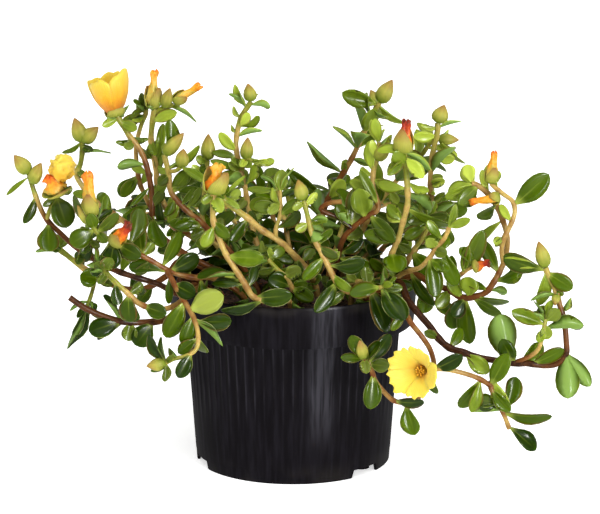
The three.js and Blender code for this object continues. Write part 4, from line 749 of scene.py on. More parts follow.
        ]},
    ],
    "shoot_inner_middle": [
        {"girth": (3, 2.2), "bark": (0.6, 0.25), "route": [
            (0, 12, 80), (0, 14, 91), (-4, 20, 112), (-8, 30, 128),
        ]},
    ],
    "shoot_inner_front": [
        {"girth": (3, 2.2), "bark": (0.6, 0.25), "route": [
            (16, -2, 80), (17, -2, 91), (22, 2, 108), (26, 6, 122),
        ]},
    ],
    "shoot_inner_far_right": [
        {"girth": (3, 2.2), "bark": (0.6, 0.25), "route": [
            (26, 4, 80), (28, 5, 91), (42, 12, 104), (56, 18, 112),
        ]},
    ],
    "shoot_back_top": [
        {"girth": (3, 2.2), "bark": (0.6, 0.25), "route": [
            (2, 44, 80), (2, 46, 91), (0, 54, 106), (-4, 60, 121),
        ]},
    ],
}

bladeLook = {
    # how the leaves of the frame are found and sized
    "thickness": 1.7,               # mm, of the lens-shaped blades in the frame
    "widest": 0.58,                 # of a frame blade's length, where its two ridge points are
    "cornerPlaces": (0.4, 0.8),     # of its length, where its side corners are
    "cornerShare": 0.94,            # of its width, how far apart the side corners are
    "lengths": (5, 40),             # mm
    "wider": 1.12, "longer": 1.03,  # of a frame blade, how large the leaf is
    "roll": 14,                     # degrees of random roll about a blade's own axis
    "front": (0, -0.7, 0.7),        # the way that upper sides look
    "listedUp": (0, -0.8, 0.6), "budUp": (0, -1, 0.3),
    "smallLength": (7, 12),         # mm, over which a leaf passes from young to grown
    "smallKinds": (4, 4, 1), "grownKinds": (0, 0, 1, 2, 3),     # numbers of the blade shapes
    # tones are 0 for dark and 1 for light green, and zones are in mm
    # the lifts of the tone at the top and to the right are painted light, where the lamps fall from above and
    # from the right
    "oldTone": 0.09, "rightLitLift": 0.1, "topLitLift": 0.38, "topRightLitLift": 0.32, "farRightLitLift": 0.3,
    "wideDrop": 0.55, "toneSpread": 0.22, "listedSpread": 0.05, "palerTone": 0.5,
    "topZone": (105, 168), "rightZone": (-80, 0), "farRightZone": (45, 100), "wideZone": (6.5, 10),
    "smallYoung": 0.35, "topYoung": 0.3, "leftYoung": 0.4, "listedYoung": 0.5,
    "blushes": (0, 0, 0, 0.3, 0.6),
    # leaves that show their underside, a young one and dark ones, as x and z of their tips in mm
    "palerTips": [(128, 51), (138, 56), (96, 88), (24, 126), (14, 123)],
    "youngTips": [(-33, 99)],
    "darkTips": [   # and their tone
        (120, 142, 0.25), (119, 146, 0.25), (34, 147, 0.4), (28, 181, 0.4), (55, 150, 0.35)],
    "tipReach": 2.5, "darkReach": 5, "darkLength": 11,
    "boxGap": 0.5, "potRadius": 64, "potTop": 88,     # mm, where no leaf's tip may be
}
tuftLook = {    # young leaves round the end of a stem
    "usual": (5, 10),               # how many, and their length in mm
    "onBudStem": (1, 6),
    "turn": 137.5, "turnSpread": 15,    # degrees from one leaf to the next
    "lean": 28, "moreLean": 42, "leanSpread": 6,
    "lengths": (0.75, 1.1), "width": 0.36, "step": 0.4,
}
fillLook = {    # leaves at the joints that carry none yet
    "clearance": 5.0,               # mm that an added leaf keeps from the listed ones
    "jointStep": 7.5,               # mm between the joints of a stem
    "lean": (40, 72), "lift": (-0.15, 0.35), "lengths": (0.7, 1.15), "width": (0.42, 0.56),
    # from and to along the route, length in mm, and how many at a joint; a leafy stem's second
    # number counts back from the number of its route points
    "leafy": (1.0, 1.3, 17, 3), "nearSoil": (0.3, 1.25, 14, 2),
    "behind": -12, "within": 75, "potRadius": 50, "soilTop": 90,    # mm
}
stemLook = {
    "sides": 9,
    # a stem's girth between its joints, and how much thicker and browner it is at a joint
    "thin": 0.86, "jointSwell": 0.16, "jointTan": 0.12, "jointReach": 3,
    # how green a leafy stem's end is, and between which mm from the end that fades
    "greenEnd": 0.85, "greenFade": (5, 26),
    # the bark tone of that end at the far left, what is added right of it, and the x between them
    "oliveBark": 0.02, "greenLift": 0.13, "greenZone": (-100, -60),
}


def bladeShape(name, fold, arch, twist, cup, slim, belly):
    # One leaf, 1 long along +Y and 1 wide, spoon-shaped and fleshy. fold lifts the two halves,
    # arch bends the tip down, twist turns it, cup hollows the upper side, slim narrows both ends
    # and a belly under 1 moves the widest place towards the tip.
    outline = [
        (0.05, 0.20), (0.15, 0.42), (0.28, 0.72), (0.43, 0.93), (0.58, 1.0), (0.74, 0.93), (0.87, 0.70),
        (0.955, 0.40)]
    ring = ((-1, 0), (-0.5, 1), (0, 1), (0.5, 1), (1, 0), (0, -1))   # place across, and upper or lower side
    thickness, midrib = 0.042, 0.02
    points, across, along, upper = [(0, 0, 0)], [0.0], [0.0], [0.5]
    for t, share in ((place ** belly, share) for place, share in outline):
        half = 0.5 * share ** slim
        thick = thickness * (1 - 0.35 * t) * min(1.0, (1 - t) / 0.12 + 0.25)
        for u, side in ring:
            x = u * half
            z = side * thick * math.sqrt(1 - u * u * 0.9)
            if side == 1 and u == 0:
                z -= midrib
            z = z + fold * abs(x) * 2 * math.sin(math.pi * min(t + 0.15, 1)) - arch * max(t - 0.25, 0) ** 2
            z += cup * (u * u) * half
            turn = twist * t
            points.append((x * math.cos(turn) - z * math.sin(turn), t, x * math.sin(turn) + z * math.cos(turn)))
            across.append(u)
            along.append(t)
            upper.append(0.5 + 0.5 * side)
    points.append((0, 1, -arch * 0.75 ** 2))
    mesh = meshFrom(name, points, ringFaces(len(outline), len(ring)))
    outward(mesh)
    for key, values in (("across", across + [0.0]), ("along", along + [1.0]), ("upper", upper + [0.5])):
        putAttribute(mesh, key, values)
    return newObject(name, mesh)


def outward(mesh):
    # Turns all faces of a closed mesh outwards.
    work = bmesh.new()
    work.from_mesh(mesh)
    bmesh.ops.recalc_face_normals(work, faces=work.faces)
    if work.calc_volume(signed=True) < 0:
        bmesh.ops.reverse_faces(work, faces=work.faces)
    work.to_mesh(mesh)
    work.free()


def budShape(name, plump, lean):
    # A closed bud, 1 long along +Y and 1 wide: two sepals clasped together, keeled at the back.
    rows = [(0.03, 0.22), (0.12, 0.4), (0.28, 0.5), (0.45, 0.49), (0.62, 0.41), (0.78, 0.28), (0.92, 0.13)]
    sides, seamDepth, flat = 10, 0.14, 0.86
    points, across, along = [(0, 0, 0)], [0.0], [0.0]
    for t, radius in rows:
        for k in range(sides):
            angle = 2 * math.pi * k / sides
            seam = 1 - seamDepth + seamDepth * abs(math.cos(angle)) ** 0.5
            r = radius * (1 + (plump - 1) * min(1.0, (1 - t) / 0.4)) * seam
            points.append((r * math.cos(angle) + lean * t * t, t, flat * r * math.sin(angle)))
            across.append(angle / (2 * math.pi))
            along.append(t)
    points.append((lean, 1, 0))
    mesh = meshFrom(name, points, ringFaces(len(rows), sides))
    outward(mesh)
    for key, values in (("across", across + [0.5]), ("along", along + [1.0]), ("upper", [1.0] * len(points))):
        putAttribute(mesh, key, values)
    return newObject(name, mesh)


def catmullRom(route, stepMm=1.5):
    # A smooth line through the route's points, as (place along the route, point in mm).
    points = [Vector(p) for p in route]
    ends = [2 * points[0] - points[1], *points, 2 * points[-1] - points[-2]]
    line = []
    for span in range(len(points) - 1):
        a, b, c, d = ends[span:span + 4]
        steps = max(2, round((c - b).length / stepMm))
        for t in (k / steps for k in range(steps)):
            bend, swing = 2 * a - 5 * b + 4 * c - d, 3 * b - a - 3 * c + d
            line.append((span + t, 0.5 * (2 * b + (c - a) * t + bend * t * t + swing * t ** 3)))
    return line + [(len(points) - 1.0, points[-1])]


def treeOf(spots):
    # A search tree for the nearest of some points.
    tree = KDTree(len(spots))
    for index, spot in enumerate(spots):
        tree.insert(spot, index)
    tree.balance()
    return tree


def readBlades(node):
    # Finds the lens-shaped leaf blades in a frame node: two ridge points a blade's thickness
    # apart, over a tip and side corners that lie halfway between them.
    look = bladeLook
    thick, widest = look["thickness"], look["widest"]
    give, sideLeast, placeGive = 0.02, 0.4, 0.012     # mm, mm and a share of the length
    low, high = (place - widest for place in look["cornerPlaces"])
    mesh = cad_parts[node].data
    spots = np.empty(len(mesh.vertices) * 3, np.float32)
    mesh.vertices.foreach_get("co", spots)
    microns = np.round(spots.reshape(-1, 3).astype(float) * 1e6).astype(np.int64)
    unique, where = np.unique(microns, axis=0, return_inverse=True)
    where = where.ravel()
    spot = unique / 1000.0
    mesh.calc_loop_triangles()
    near = [set() for _ in unique]
    for face in mesh.loop_triangles:
        a, b, c = (where[v] for v in face.vertices)
        near[a] |= {b, c}
        near[b] |= {a, c}
        near[c] |= {a, b}
    tree = treeOf(spot)
    blades = {}
    for a in range(len(spot)):
        for _, b, gap in tree.find_range(spot[a], thick + give):
            if b <= a or gap < thick - give:
                continue
            middle = (spot[a] + spot[b]) / 2
            up = (spot[a] - spot[b]) / gap
            arms = [spot[k] - middle for k in near[a] | near[b] if k not in (a, b)]
            arms = [arm for arm in arms if abs(arm @ up) < give]
            for arm in arms:
                length = np.linalg.norm(arm) / (1 - widest)
                if not look["lengths"][0] < length < look["lengths"][1]:
                    continue
                ahead = arm / np.linalg.norm(arm)
                side = np.cross(up, ahead)
                sides = [abs(other @ side) for other in arms if abs(other @ side) > sideLeast and min(
                    abs(other @ ahead / length - place) for place in (low, high)) < placeGive]
                if len(sides) < 2 or max(sides) - min(sides) > 2 * give:
                    continue
                tip = middle + arm
                blades[tuple(np.round(tip, 1))] = {
                    "tip": Vector(tip), "foot": Vector(tip - ahead * length),
                    "width": 2 * np.mean(sides) / look["cornerShare"], "up": Vector(up)}
                break
    return list(blades.values())


def facing(up, ahead, rng):
    # The upper side looks up and to the front, with a little roll.
    up = up - ahead * up.dot(ahead)
    if up.dot(Vector(bladeLook["front"])) < 0:
        up = -up
    roll = math.radians(rng.gauss(0, bladeLook["roll"]))
    return Matrix.Rotation(roll, 3, ahead) @ up.normalized()


def listed(tip, places, reach):
    # The first of the listed places that a leaf's tip is at.
    near = (spot for spot in places if abs(tip.x - spot[0]) < reach and abs(tip.z - spot[1]) < reach)
    return next(near, None)


def leafRecord(foot, tip, width, up, rng, tone=None):
    # One leaf as the attributes of a point, in mm.
    look = bladeLook
    reach = tip - foot
    ahead = reach.normalized()
    length = reach.length
    small = 1 - smoothStep(*look["smallLength"], length)
    up = facing(up, ahead, rng)
    if listed(tip, look["palerTips"], look["tipReach"]):
        up, tone = -up, look["palerTone"]
    dark = listed(tip, look["darkTips"], look["darkReach"])
    if dark and length > look["darkLength"]:
        tone = dark[2]
    isYoung = listed(tip, look["youngTips"], look["tipReach"])
    # young leaves at the top are lighter and the old ones low down and inside are dark; on top of that the tone
    # is lifted towards the top and the right as painted light, where the lamps fall, and the left stays darker
    # as painted shade
    high = smoothStep(*look["topZone"], tip.z)
    right, farRight = smoothStep(*look["rightZone"], tip.x), smoothStep(*look["farRightZone"], tip.x)
    grown = look["oldTone"] + look["rightLitLift"] * right
    grown = grown + (look["topLitLift"] + look["topRightLitLift"] * right) * high + look["farRightLitLift"] * farRight
    grown *= 1 - look["wideDrop"] * smoothStep(*look["wideZone"], width)
    middle, spread = (grown, look["toneSpread"]) if tone is None else (tone, look["listedSpread"])
    return {
        "spot": foot, "axis": ahead, "face": up,
        "size": (look["wider"] * width, look["longer"] * length, look["longer"] * length),
        "kind": rng.choice(look["smallKinds"] if small > 0.6 else look["grownKinds"]),
        "tone": min(max(rng.gauss(middle, spread), 0.0), 1.0),
        "young": look["listedYoung"] if isYoung else (
            look["smallYoung"] * small * rng.random() + look["topYoung"] * rng.random() * high) * (
            look["leftYoung"] + (1 - look["leftYoung"]) * right),
        "blush": rng.choice(look["blushes"]),
    }


def tipTuft(line, rng, number, length):
    # Young leaves round the end of a stem.
    look = tuftLook
    end, before = line[-1][1], line[-4][1]
    ahead = (end - before).normalized()
    side = ahead.orthogonal().normalized()
    tuft = []
    for k in range(number):
        turn = math.radians(look["turn"] * k + rng.uniform(-look["turnSpread"], look["turnSpread"]))
        out = Matrix.Rotation(turn, 3, ahead) @ side
        lean = look["lean"] + look["moreLean"] * k / number
        tilt = math.radians(lean + rng.uniform(-look["leanSpread"], look["leanSpread"]))
        reach = (ahead * math.cos(tilt) + out * math.sin(tilt)) * length * rng.uniform(*look["lengths"])
        foot = end - ahead * (look["step"] * k)
        width = look["width"] * reach.length
        tuft.append(leafRecord(foot, foot + reach, width, ahead * math.sin(tilt) - out, rng))
    return tuft


def fillLeaves(line, knots, rng, rule):
    # Leaves at the joints of a stem that carry none yet: (from, to, length, how many at a joint).
    look = fillLook
    start, end, length, number = rule
    leaves, last = [], None
    for index in range(2, len(line) - 2):
        place, spot = line[index]
        if not start <= place <= end or any((spot - knot).length < look["clearance"] for knot in knots):
            continue
        if last is not None and (spot - last).length < look["jointStep"]:
            continue
        last = spot
        ahead = (line[index + 2][1] - line[index - 2][1]).normalized()
        side = ahead.orthogonal().normalized()
        first = rng.uniform(0, 360)
        for k in range(number):
            out = Matrix.Rotation(math.radians(first + tuftLook["turn"] * k), 3, ahead) @ side
            tilt = math.radians(rng.uniform(*look["lean"]))
            reach = ahead * math.cos(tilt) + out * math.sin(tilt) + Vector((0, 0, rng.uniform(*look["lift"])))
            reach = reach.normalized() * length * rng.uniform(*look["lengths"])
            width = reach.length * rng.uniform(*look["width"])
            leaves.append(leafRecord(spot, spot + reach, width, ahead - out, rng))
    return leaves


def insideFrame(tip):
    # A leaf stays in the whole object's box, and out of the pot.
    look = bladeLook
    low, high = (Vector(corner) / mm for corner in cadBox)
    roomy = all(low[k] + look["boxGap"] < tip[k] < high[k] - look["boxGap"] for k in range(3))
    return roomy and not (math.hypot(tip.x, tip.y) < look["potRadius"] and tip.z < look["potTop"])


def fillRule(route):
    # Stems at the back and in the middle of the pot are leafy all along, those in front only
    # near the soil.
    look, middle = fillLook, route[len(route) // 2]
    if middle[1] > look["behind"] and math.hypot(middle[0], middle[1]) < look["within"]:
        start, endGap, length, number = look["leafy"]
        return start, len(route) - endGap, length, number
    inPot = math.hypot(*route[0][:2]) < look["potRadius"] and route[0][2] < look["soilTop"]
    return look["nearSoil"] if inPot else (0, -1, 0, 0)


def nearest(line, place):
    # The point of a line at a place along its route.
    return min(line, key=lambda step: abs(step[0] - place))[1]


def growPoints(node, branches):
    # The stems as lines of points, and the leaves and buds as single points, all with the
    # attributes that the shoot's node tree reads.
    rng, stem = random.Random(node), stemLook
    lines = [catmullRom(branch["route"]) for branch in branches]
    anchors = [spot for line in lines for _, spot in line]
    tree = treeOf(anchors)
    leaves, buds, knots = [], [], []
    for blade in readBlades(node):
        knots.append(anchors[tree.find(blade["foot"])[1]])
        leaves.append(leafRecord(knots[-1], blade["tip"], blade["width"], blade["up"], rng))
    for branch, line in zip(branches, lines):
        for place, x, y, z, width in branch.get("buds", []):
            foot, tip = nearest(line, place), Vector((x, y, z))
            ahead = (tip - foot).normalized()
            buds.append({
                "spot": foot, "axis": ahead, "face": facing(Vector(bladeLook["budUp"]), ahead, rng),
                "size": (width, (tip - foot).length, width), "kind": rng.choice((0, 1)),
                "tone": rng.uniform(0.3, 0.7), "young": 0.5, "blush": 0.0})
        for place, x, y, z, width, tone in branch.get("leaves", []):
            knots.append(nearest(line, place))
            up = Vector(bladeLook["listedUp"])
            leaves.append(leafRecord(knots[-1], Vector((x, y, z)), width, up, rng, tone))
        usual = tuftLook["onBudStem" if branch.get("buds") else "usual"]
        leaves += tipTuft(line, rng, *branch.get("tuft", usual))
        leaves += fillLeaves(line, knots, rng, fillRule(branch["route"]))
    leaves = [leaf for leaf in leaves if insideFrame(leaf["spot"] + leaf["axis"] * leaf["size"][1])]

    # the keys of one point that aren't given stay 0
    points, edges, rows = [], [], {key: [] for key in shootAttributes}

    def putPoint(spot, **given):
        points.append(tuple(spot * mm))
        for key, kind in shootAttributes.items():
            rows[key].append(given.get(key, (0, 0, 0) if kind == "FLOAT_VECTOR" else 0))

    for branch, line in zip(branches, lines):
        spans = len(branch["route"]) - 1
        start = len(points)
        growing = stem["greenEnd"] if branch.get("tuft", tuftLook["usual"])[0] else 0.0
        for place, spot in line:
            share = place / spans
            gaps = [(spot - knot).length for knot in knots]
            swell = max((1 - gap / stem["jointReach"] for gap in gaps if gap < stem["jointReach"]), default=0)
            girth, bark = (branch[key][0] * (1 - share) + branch[key][1] * share for key in ("girth", "bark"))
            girth *= stem["thin"] + stem["jointSwell"] * swell
            bark += stem["jointTan"] * swell
            # the youngest end of a stem is green, olive on the left
            green = stem["oliveBark"] + stem["greenLift"] * smoothStep(*stem["greenZone"], spot.x)
            bark += (green - bark) * growing * (1 - smoothStep(*stem["greenFade"], (line[-1][1] - spot).length))
            putPoint(spot, part=0, girth=girth / 2 * mm, bark=bark)
        edges += [(k, k + 1) for k in range(start, len(points) - 1)]
    for part, items in ((1, leaves), (2, buds)):
        for item in items:
            putPoint(part=part, **{**item, "size": [v * mm for v in item["size"]]})
    mesh = bpy.data.meshes.new(node + "_points")
    mesh.from_pydata(points, edges, [])
    for key, kind in shootAttributes.items():
        putAttribute(mesh, key, rows[key], kind)
    return mesh


shootAttributes = {
    "part": "INT", "girth": "FLOAT", "bark": "FLOAT", "axis": "FLOAT_VECTOR", "face": "FLOAT_VECTOR",
    "size": "FLOAT_VECTOR", "kind": "INT", "tone": "FLOAT", "young": "FLOAT", "blush": "FLOAT",
}


def newTree(name, inputs):
    # A geometry node tree with named inputs of (socket type, default): the tree, the sockets of its
    # input node, and addNode for it.
    tree = bpy.data.node_groups.new(name, "GeometryNodeTree")
    tree.interface.new_socket("Geometry", in_out="INPUT", socket_type="NodeSocketGeometry")
    for key, (kind, value) in inputs.items():
        socket = tree.interface.new_socket(key, in_out="INPUT", socket_type=kind)
        if value is not None:
            socket.default_value = value
    tree.interface.new_socket("Geometry", in_out="OUTPUT", socket_type="NodeSocketGeometry")
    return tree, tree.nodes.new("NodeGroupInput").outputs, partial(addNode, tree)


def runTree(piece, tree, name, **values):
    # Sets the tree's inputs by their identifiers and returns the result as a plain mesh.
    modifier = piece.modifiers.new("grow", "NODES")
    modifier.node_group = tree
    for socket in tree.interface.items_tree:
        if socket.in_out == "INPUT" and socket.name in values:
            modifier[socket.identifier] = values[socket.name]
    return evaluated(piece, name)


def shootTree():
    # Stems are tubes along their lines; leaves and buds are copies turned to their own axes.
    tree, given, add = newTree("growShoot", {
        "Stem Sides": ("NodeSocketInt", 9), "Blade Shapes": ("NodeSocketCollection", None),
        "Bud Shapes": ("NodeSocketCollection", None), "Blade Skin": ("NodeSocketMaterial", None),
        "Stem Skin": ("NodeSocketMaterial", None), "Bud Skin": ("NodeSocketMaterial", None)})
    stored = {
        key: add("GeometryNodeInputNamedAttribute", [key], data_type=shootAttributes[key])[0]
        for key in ("part", "girth", "axis", "face", "size", "kind")}

    def only(number):
        # the points of one part: 0 stems, 1 leaves, 2 buds
        same = add("FunctionNodeCompare", {2: stored["part"], 3: number}, data_type="INT", operation="EQUAL")[0]
        return add("GeometryNodeSeparateGeometry", [given["Geometry"], same], domain="POINT")[0]

    def copies(number, shapes, skin):
        ahead = add("FunctionNodeAlignRotationToVector", {"Vector": stored["axis"]}, axis="Y")[0]
        turned = add("FunctionNodeAlignRotationToVector", {"Rotation": ahead, "Vector": stored["face"]},
                     axis="Z", pivot_axis="Y")[0]
        source = add("GeometryNodeCollectionInfo", {
            "Collection": shapes, "Separate Children": True, "Reset Children": True})[0]
        placed = add("GeometryNodeInstanceOnPoints", {
            "Points": only(number), "Instance": source, "Pick Instance": True,
            "Instance Index": stored["kind"], "Rotation": turned, "Scale": stored["size"]})[0]
        real = add("GeometryNodeRealizeInstances", [placed])[0]
        return add("GeometryNodeSetMaterial", {"Geometry": real, "Material": skin})[0]

    line = add("GeometryNodeMeshToCurve", [only(0)])[0]
    ring = add("GeometryNodeCurvePrimitiveCircle", {"Resolution": given["Stem Sides"], "Radius": 1.0})[0]
    tube = add("GeometryNodeCurveToMesh", {
        "Curve": line, "Profile Curve": ring, "Scale": stored["girth"], "Fill Caps": True})[0]
    rounded = add("GeometryNodeSetShadeSmooth", {"Geometry": tube, "Shade Smooth": True})[0]
    stems = add("GeometryNodeSetMaterial", {"Geometry": rounded, "Material": given["Stem Skin"]})[0]
    blades = copies(1, given["Blade Shapes"], given["Blade Skin"])
    buds = copies(2, given["Bud Shapes"], given["Bud Skin"])
    joined = add("GeometryNodeJoinGeometry", [[stems, blades, buds]])[0]
    add("NodeGroupOutput", [joined])
    return tree


shootSkins = {"Blade Skin": fleshyBladeSkin(), "Stem Skin": juicyStemSkin(), "Bud Skin": budSkin()}
bladeShapes = hidden("bladeShapes", [
    bladeShape("blade0", fold=0.08, arch=0.12, twist=0.0, cup=0.10, slim=1.0, belly=0.95),
    bladeShape("blade1", fold=0.20, arch=-0.10, twist=0.15, cup=0.16, slim=1.15, belly=0.85),
    bladeShape("blade2", fold=0.03, arch=0.26, twist=-0.2, cup=0.05, slim=0.95, belly=0.8),
    bladeShape("blade3", fold=0.14, arch=0.02, twist=0.3, cup=0.12, slim=1.05, belly=0.72),
    bladeShape("blade4", fold=0.28, arch=-0.20, twist=0.0, cup=0.20, slim=1.0, belly=1.0),
])
budShapes = hidden("budShapes", [
    budShape("bud0", plump=1.15, lean=0.04),
    budShape("bud1", plump=1.08, lean=-0.08),
])
grow = shootTree()
for node, branches in shootBranches.items():
    seedling = newObject(node + "_seedling", growPoints(node, branches))
    mesh = runTree(seedling, grow, node, **{
        "Stem Sides": stemLook["sides"], "Blade Shapes": bladeShapes, "Bud Shapes": budShapes, **shootSkins})
    bpy.data.objects.remove(seedling)
    settle(newObject(node + "_piece", mesh), "shoot_tissue", node)
print("shoots", len(shootBranches))


potLook = {   # mm and degrees
    "flutes": 68, "fluteSteps": 8, "fluteDepth": 0.62, "fluteTop": 69.0, "fluteArch": 2.6, "fluteFoot": 24,
    "fluteFade": 22, "topFade": 1.2,
    "notchCount": 3, "notchFirst": -42, "notchCircle": 47, "notchDeep": 12, "notchWidth": 17, "notchHeight": 4,
    "notchFlare": (2.0, -1.0),            # added to a notch's width at its foot and at its top
    "holeCount": 6, "holeCircle": 38, "holeRadius": 4, "holeSides": 24, "holeMiddle": 5, "holeDeep": 10,
    "below": 1.5,                         # how far the cutters reach under the pot
    "sharpAngle": 38,
}
# outer and inner wall as radius and height in mm, from the middle of the base to that of the floor
potProfile = [
    (0, 0), (29.6, 0), (30.2, 0.4), (31.9, 4), (45.4, 4), (45.4, 0.3), (45.7, 0), (46.6, 0), (47, 0.45),
    (47.35, 5.6), (47.52, 6.1), (48.3, 17), (48.8, 24), (49.3, 31), (49.85, 38), (50.4, 46), (50.95, 54),
    (51.35, 60), (51.75, 65), (51.85, 66.2), (51.93, 67.2), (52.0, 68), (52.1, 68.6), (52.5, 69.0),
    (57.6, 69.6), (58.3, 69.8), (58.6, 70.4), (58.72, 71.6), (59.2, 78), (59.7, 84), (59.95, 88.4),
    (59.98, 89.3), (59.7, 89.9), (59.2, 90), (58.7, 89.9), (58.4, 89.3), (58.2, 87), (57.0, 72.2), (56.6, 71.6),
    (50.9, 70.1), (50.4, 69.6), (49.4, 56), (46.0, 8), (45.4, 6.2), (31, 6), (29.2, 2.3), (28.6, 2), (0, 2),
]


def latheMesh(name, profile, sides):
    # Turns a profile that starts and ends on the axis into a closed mesh.
    rows = profile[1:-1]
    points = [(0, 0, profile[0][1] * mm)]
    for radius, height in rows:
        for k in range(sides):
            angle = 2 * math.pi * k / sides
            points.append((radius * mm * math.cos(angle), radius * mm * math.sin(angle), height * mm))
    points.append((0, 0, profile[-1][1] * mm))
    mesh = meshFrom(name, points, ringFaces(len(rows), sides))
    outward(mesh)
    return mesh


def fluteTree():
    # Presses hollow flutes with arched tops into the wall of a turned pot.
    tree, given, add = newTree("pressFlutes", {
        "Flutes": ("NodeSocketFloat", 68.0), "Depth": ("NodeSocketFloat", 0.0004),
        "Top": ("NodeSocketFloat", 0.069), "Arch": ("NodeSocketFloat", 0.0026),
        "Top Fade": ("NodeSocketFloat", 0.0012), "Foot": ("NodeSocketFloat", 0.024),
        "Foot Fade": ("NodeSocketFloat", 0.022), "Plastic": ("NodeSocketMaterial", None)})
    spot = add("GeometryNodeInputPosition")[0]
    axes = add("SeparateXYZ", [spot])
    angle = add("Math", [axes["Y"], axes["X"]], operation="ARCTAN2")[0]
    turns = add("Math", [angle, 2 * math.pi], operation="DIVIDE")[0]
    count = add("Math", [turns, given["Flutes"]], operation="MULTIPLY")[0]
    share = add("Math", [count], operation="FRACT")[0]
    side = add("Math", [share, 2.0, -1.0], operation="MULTIPLY_ADD")[0]
    ridge = add("Math", [side, side], operation="MULTIPLY")[0]
    hollow = add("Math", [1.0, ridge], operation="SUBTRACT")[0]
    drop = add("Math", [ridge, given["Arch"]], operation="MULTIPLY")[0]
    arch = add("Math", [given["Top"], drop], operation="SUBTRACT")[0]
    under = add("Math", [arch, axes["Z"]], operation="SUBTRACT")[0]
    topFade = add("MapRange", [under, 0.0, given["Top Fade"]])[0]
    high = add("Math", [axes["Z"], given["Foot"]], operation="SUBTRACT")[0]
    footFade = add("MapRange", [high, 0.0, given["Foot Fade"]])[0]
    both = add("Math", [topFade, footFade], operation="MULTIPLY")[0]
    press = add("Math", [both, hollow], operation="MULTIPLY")[0]
    outside = add("GeometryNodeInputNamedAttribute", ["outside"])[0]
    press = add("Math", [press, outside], operation="MULTIPLY")[0]
    depth = add("Math", [press, given["Depth"]], operation="MULTIPLY")[0]
    inward = add("VectorMath", [spot, (-1.0, -1.0, 0.0)], operation="MULTIPLY")[0]
    unit = add("VectorMath", [inward], operation="NORMALIZE")[0]
    push = add("VectorMath", {0: unit, "Scale": depth}, operation="SCALE")[0]
    moved = add("GeometryNodeSetPosition", {"Geometry": given["Geometry"], "Offset": push})[0]
    real = add("GeometryNodeRealizeInstances", [moved])[0]
    done = add("GeometryNodeSetMaterial", {"Geometry": real, "Material": given["Plastic"]})[0]
    add("NodeGroupOutput", [done])
    return tree


def cutterMesh():
    # The three gaps in the foot and the drain holes, as separate closed blocks in one mesh.
    look = potLook
    work = bmesh.new()
    for i in range(look["notchCount"]):
        turn = Matrix.Rotation(math.radians(look["notchFirst"] + i * 360 / look["notchCount"]), 4, "Z")
        for vertex in bmesh.ops.create_cube(work, size=1.0)["verts"]:
            below = vertex.co.z < 0
            wide = look["notchWidth"] + look["notchFlare"][0 if below else 1]
            vertex.co = turn @ Vector((
                (look["notchCircle"] + vertex.co.x * look["notchDeep"]) * mm, vertex.co.y * wide * mm,
                (-look["below"] if below else look["notchHeight"]) * mm))
    for i in range(look["holeCount"]):
        angle = (i + 0.5) * 2 * math.pi / look["holeCount"]
        place = Matrix.Translation((
            look["holeCircle"] * math.cos(angle) * mm, look["holeCircle"] * math.sin(angle) * mm,
            look["holeMiddle"] * mm))
        bmesh.ops.create_cone(
            work, cap_ends=True, segments=look["holeSides"], radius1=look["holeRadius"] * mm,
            radius2=look["holeRadius"] * mm, depth=look["holeDeep"] * mm, matrix=place)
    bmesh.ops.recalc_face_normals(work, faces=work.faces)
    mesh = bpy.data.meshes.new("footCutter")
    work.to_mesh(mesh)
    work.free()
    return mesh


def pottedShell():
    look = potLook
    sides = look["flutes"] * look["fluteSteps"]
    mesh = latheMesh("pot", potProfile, sides)
    # the flutes are pressed into the outer wall only, from above its foot to the top of the rim
    first, last = potProfile.index((47.35, 5.6)), potProfile.index((59.2, 90))
    wall = [1.0 if first <= row < last else 0.0 for row in range(1, len(potProfile) - 1) for _ in range(sides)]
    putAttribute(mesh, "outside", [0.0] + wall + [0.0])
    turned = newObject("turned_pot", mesh)
    pressed = runTree(turned, fluteTree(), "nursery_pot_shell", **{
        "Flutes": float(look["flutes"]), "Depth": look["fluteDepth"] * mm, "Top": look["fluteTop"] * mm,
        "Arch": look["fluteArch"] * mm, "Top Fade": look["topFade"] * mm, "Foot": look["fluteFoot"] * mm,
        "Foot Fade": look["fluteFade"] * mm, "Plastic": mouldedPotPlastic()})
    bpy.data.objects.remove(turned)
    shell = newObject("nursery_pot_shell", pressed)
    cutter = newObject("foot_cutter", cutterMesh())
    cut = shell.modifiers.new("cut", "BOOLEAN")
    cut.operation, cut.solver, cut.object = "DIFFERENCE", "EXACT", cutter
    shell.data = evaluated(shell, "nursery_pot_shell")
    shell.modifiers.clear()
    bpy.data.objects.remove(cutter)
    shell.data.set_sharp_from_angle(angle=math.radians(look["sharpAngle"]))
    settle(shell, "pot_plastic", "nursery_pot")


pottedShell()
print("pot")


soilLook = {
    "top": 84.2, "radius": 55, "crown": 1.0, "sides": 96, "lumpsAbove": 83.5,     # mm
    "swell": 1.4, "lumpScales": (90, 260), "fineShare": 0.6,
    "crumbs": 1500, "crumbSize": (0.8, 2.6), "crumbFlat": 0.8, "crumbRough": (0.75, 1.2),
    "litter": 70, "litterSize": (3, 7), "litterCurls": (0.5, -0.4, 0.9), "litterRough": (0.8, 1.0),
    "litterWidth": 0.6, "litterThick": 0.04,
    "bedAbove": 80, "steepest": 0.4, "seed": 5,     # where crumbs and litter lie
}


